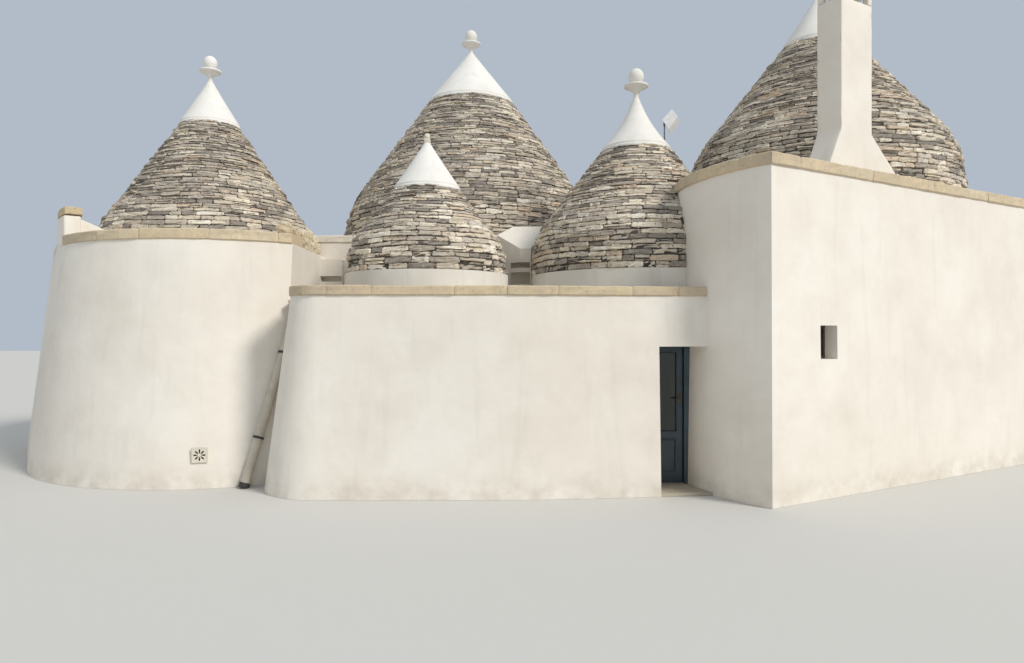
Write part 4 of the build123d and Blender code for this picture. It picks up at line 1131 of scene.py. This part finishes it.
def slab(loop):
    """Flat plate of the reflector, with a slightly bevelled rim."""
    across = (loop[1] - loop[0]).cross(loop[2] - loop[1]).normalized()
    middle = sum(loop, Vector()) / len(loop)
    points = []
    for lift, share in slab_rings:
        out = across * lift * reflector_thickness
        points += [middle + (point - middle) * share + out for point in loop]
    return points, solid_faces(len(slab_rings), len(loop))


aerial_points = [vertex.co for vertex in nodes["aerial"].data.vertices]
mast_foot = corners(aerial_points)[0].z
foot_low, foot_high = corners([point for point in aerial_points if point.z < mast_foot + mast_foot_zone])
mast_x, mast_y = (foot_low.x + foot_high.x) / 2, (foot_low.y + foot_high.y) / 2
arm_start = (mast_x, mast_y + arm_behind, arm_low)
arm_end = (mast_x + arm_right, arm_end_y, arm_high)
face = [Vector((x, aerial_y, z)) for x, z in reflector_corners]
folded = [face[1], face[1] + fold, face[2] + fold, face[2]]
mast = tube((mast_x, mast_y, mast_foot), (mast_x, mast_y, mast_top), mast_radius)
arm = tube(arm_start, arm_end, arm_radius)
clamp = tube((mast_x, mast_y, clamp_span[0]), (mast_x, mast_y, clamp_span[1]), clamp_radius)
piece("aerial_mast", [mast, arm, clamp], aerial_grey, "aerial")
piece("aerial_reflector", [slab(face), slab(folded)], aerial_white, "aerial")


# Beads round the panes and panels of the door

bead_width = 0.014
bead_depth = 0.009
bead_profile = ((0.0, 0.0), (0.0, 0.6), (0.35, 1.0), (0.8, 0.5), (1.0, 0.0))
panel_bead_share = 1.6
panel_foot = 0.14
panel_head = 0.10


def bead(x_span, z_span, y, width, side):
    """Mitred bead round an upright rectangle, which stands out along Y by side."""
    points = []
    for share, out in bead_profile:
        left, right = x_span[0] + width * share, x_span[1] - width * share
        foot, head = z_span[0] + width * share, z_span[1] - width * share
        ring = ((left, foot), (right, foot), (right, head), (left, head))
        points += [Vector((x, y + side * (bead_depth * out), z)) for x, z in ring]
    return points, ring_faces(len(bead_profile), 4, closed=True)


leaf_low, leaf_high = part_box("door_leaf")
glass_low, glass_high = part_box("door_glass")
glass_x = (glass_low[0] - bead_width / 2, glass_high[0] + bead_width / 2)
glass_z = (glass_low[2] - bead_width / 2, glass_high[2] + bead_width / 2)
panel_x = (glass_low[0], glass_high[0])
panel_z = (leaf_low[2] + panel_foot, glass_low[2] - panel_head)
beads = []
for y, side in ((leaf_low[1], -1), (leaf_high[1], 1)):
    beads.append(bead(glass_x, glass_z, y, bead_width, side))
    beads.append(bead(panel_x, panel_z, y, bead_width * panel_bead_share, side))
piece("door_beads", beads, door_paint, body=door)


# Floor, light and camera

floor_mesh = bpy.data.meshes.new("floor")
floor_corners = ((-1, -1), (1, -1), (1, 1), (-1, 1))
floor_mesh.from_pydata([(x * floor_half, y * floor_half, 0) for x, y in floor_corners], [], [(0, 1, 2, 3)])
floor_mesh.materials.append(Shader("floor", roughness=0.95).paint(floor_tone))
floor = new_object("floor", floor_mesh)
floor.location.z = -floor_drop

world = bpy.data.worlds.new("studio")
bpy.context.scene.world = world
world.use_nodes = True
tree = world.node_tree
sky = tree.nodes["Background"]
sky.inputs["Color"].default_value = sky_colour
sky.inputs["Strength"].default_value = sky_strength
backdrop = tree.nodes.new("ShaderNodeBackground")
backdrop.inputs["Color"].default_value = linear_colour(*backdrop_tone)
rays = tree.nodes.new("ShaderNodeLightPath")
seen = rays.outputs["Is Camera Ray"]
for kind in ("Is Glossy Ray", "Is Transmission Ray"):
    either = tree.nodes.new("ShaderNodeMath")
    either.operation = "MAXIMUM"
    tree.links.new(seen, either.inputs[0])
    tree.links.new(rays.outputs[kind], either.inputs[1])
    seen = either.outputs[0]
choice = tree.nodes.new("ShaderNodeMixShader")
tree.links.new(seen, choice.inputs["Fac"])
tree.links.new(sky.outputs[0], choice.inputs[1])
tree.links.new(backdrop.outputs[0], choice.inputs[2])
tree.links.new(choice.outputs[0], tree.nodes["World Output"].inputs["Surface"])

sun_data = bpy.data.lights.new("key", "SUN")
sun_data.energy = sun_energy
sun_data.angle = sun_spread
sun_data.color = sun_colour
sun = new_object("key", sun_data)
sun.rotation_euler = Vector(sun_from).to_track_quat("Z", "Y").to_euler()

camera_data = bpy.data.cameras.new("camera")
camera_data.sensor_width = sensor_width
camera_data.lens = focal_pixels / image_width * sensor_width
camera_data.shift_y = horizon_below_middle / image_width
camera = new_object("camera", camera_data)
camera.location = camera_place
camera.rotation_euler = (quarter, 0, 0)
bpy.context.scene.camera = camera
bpy.context.scene.view_settings.view_transform = "Standard"
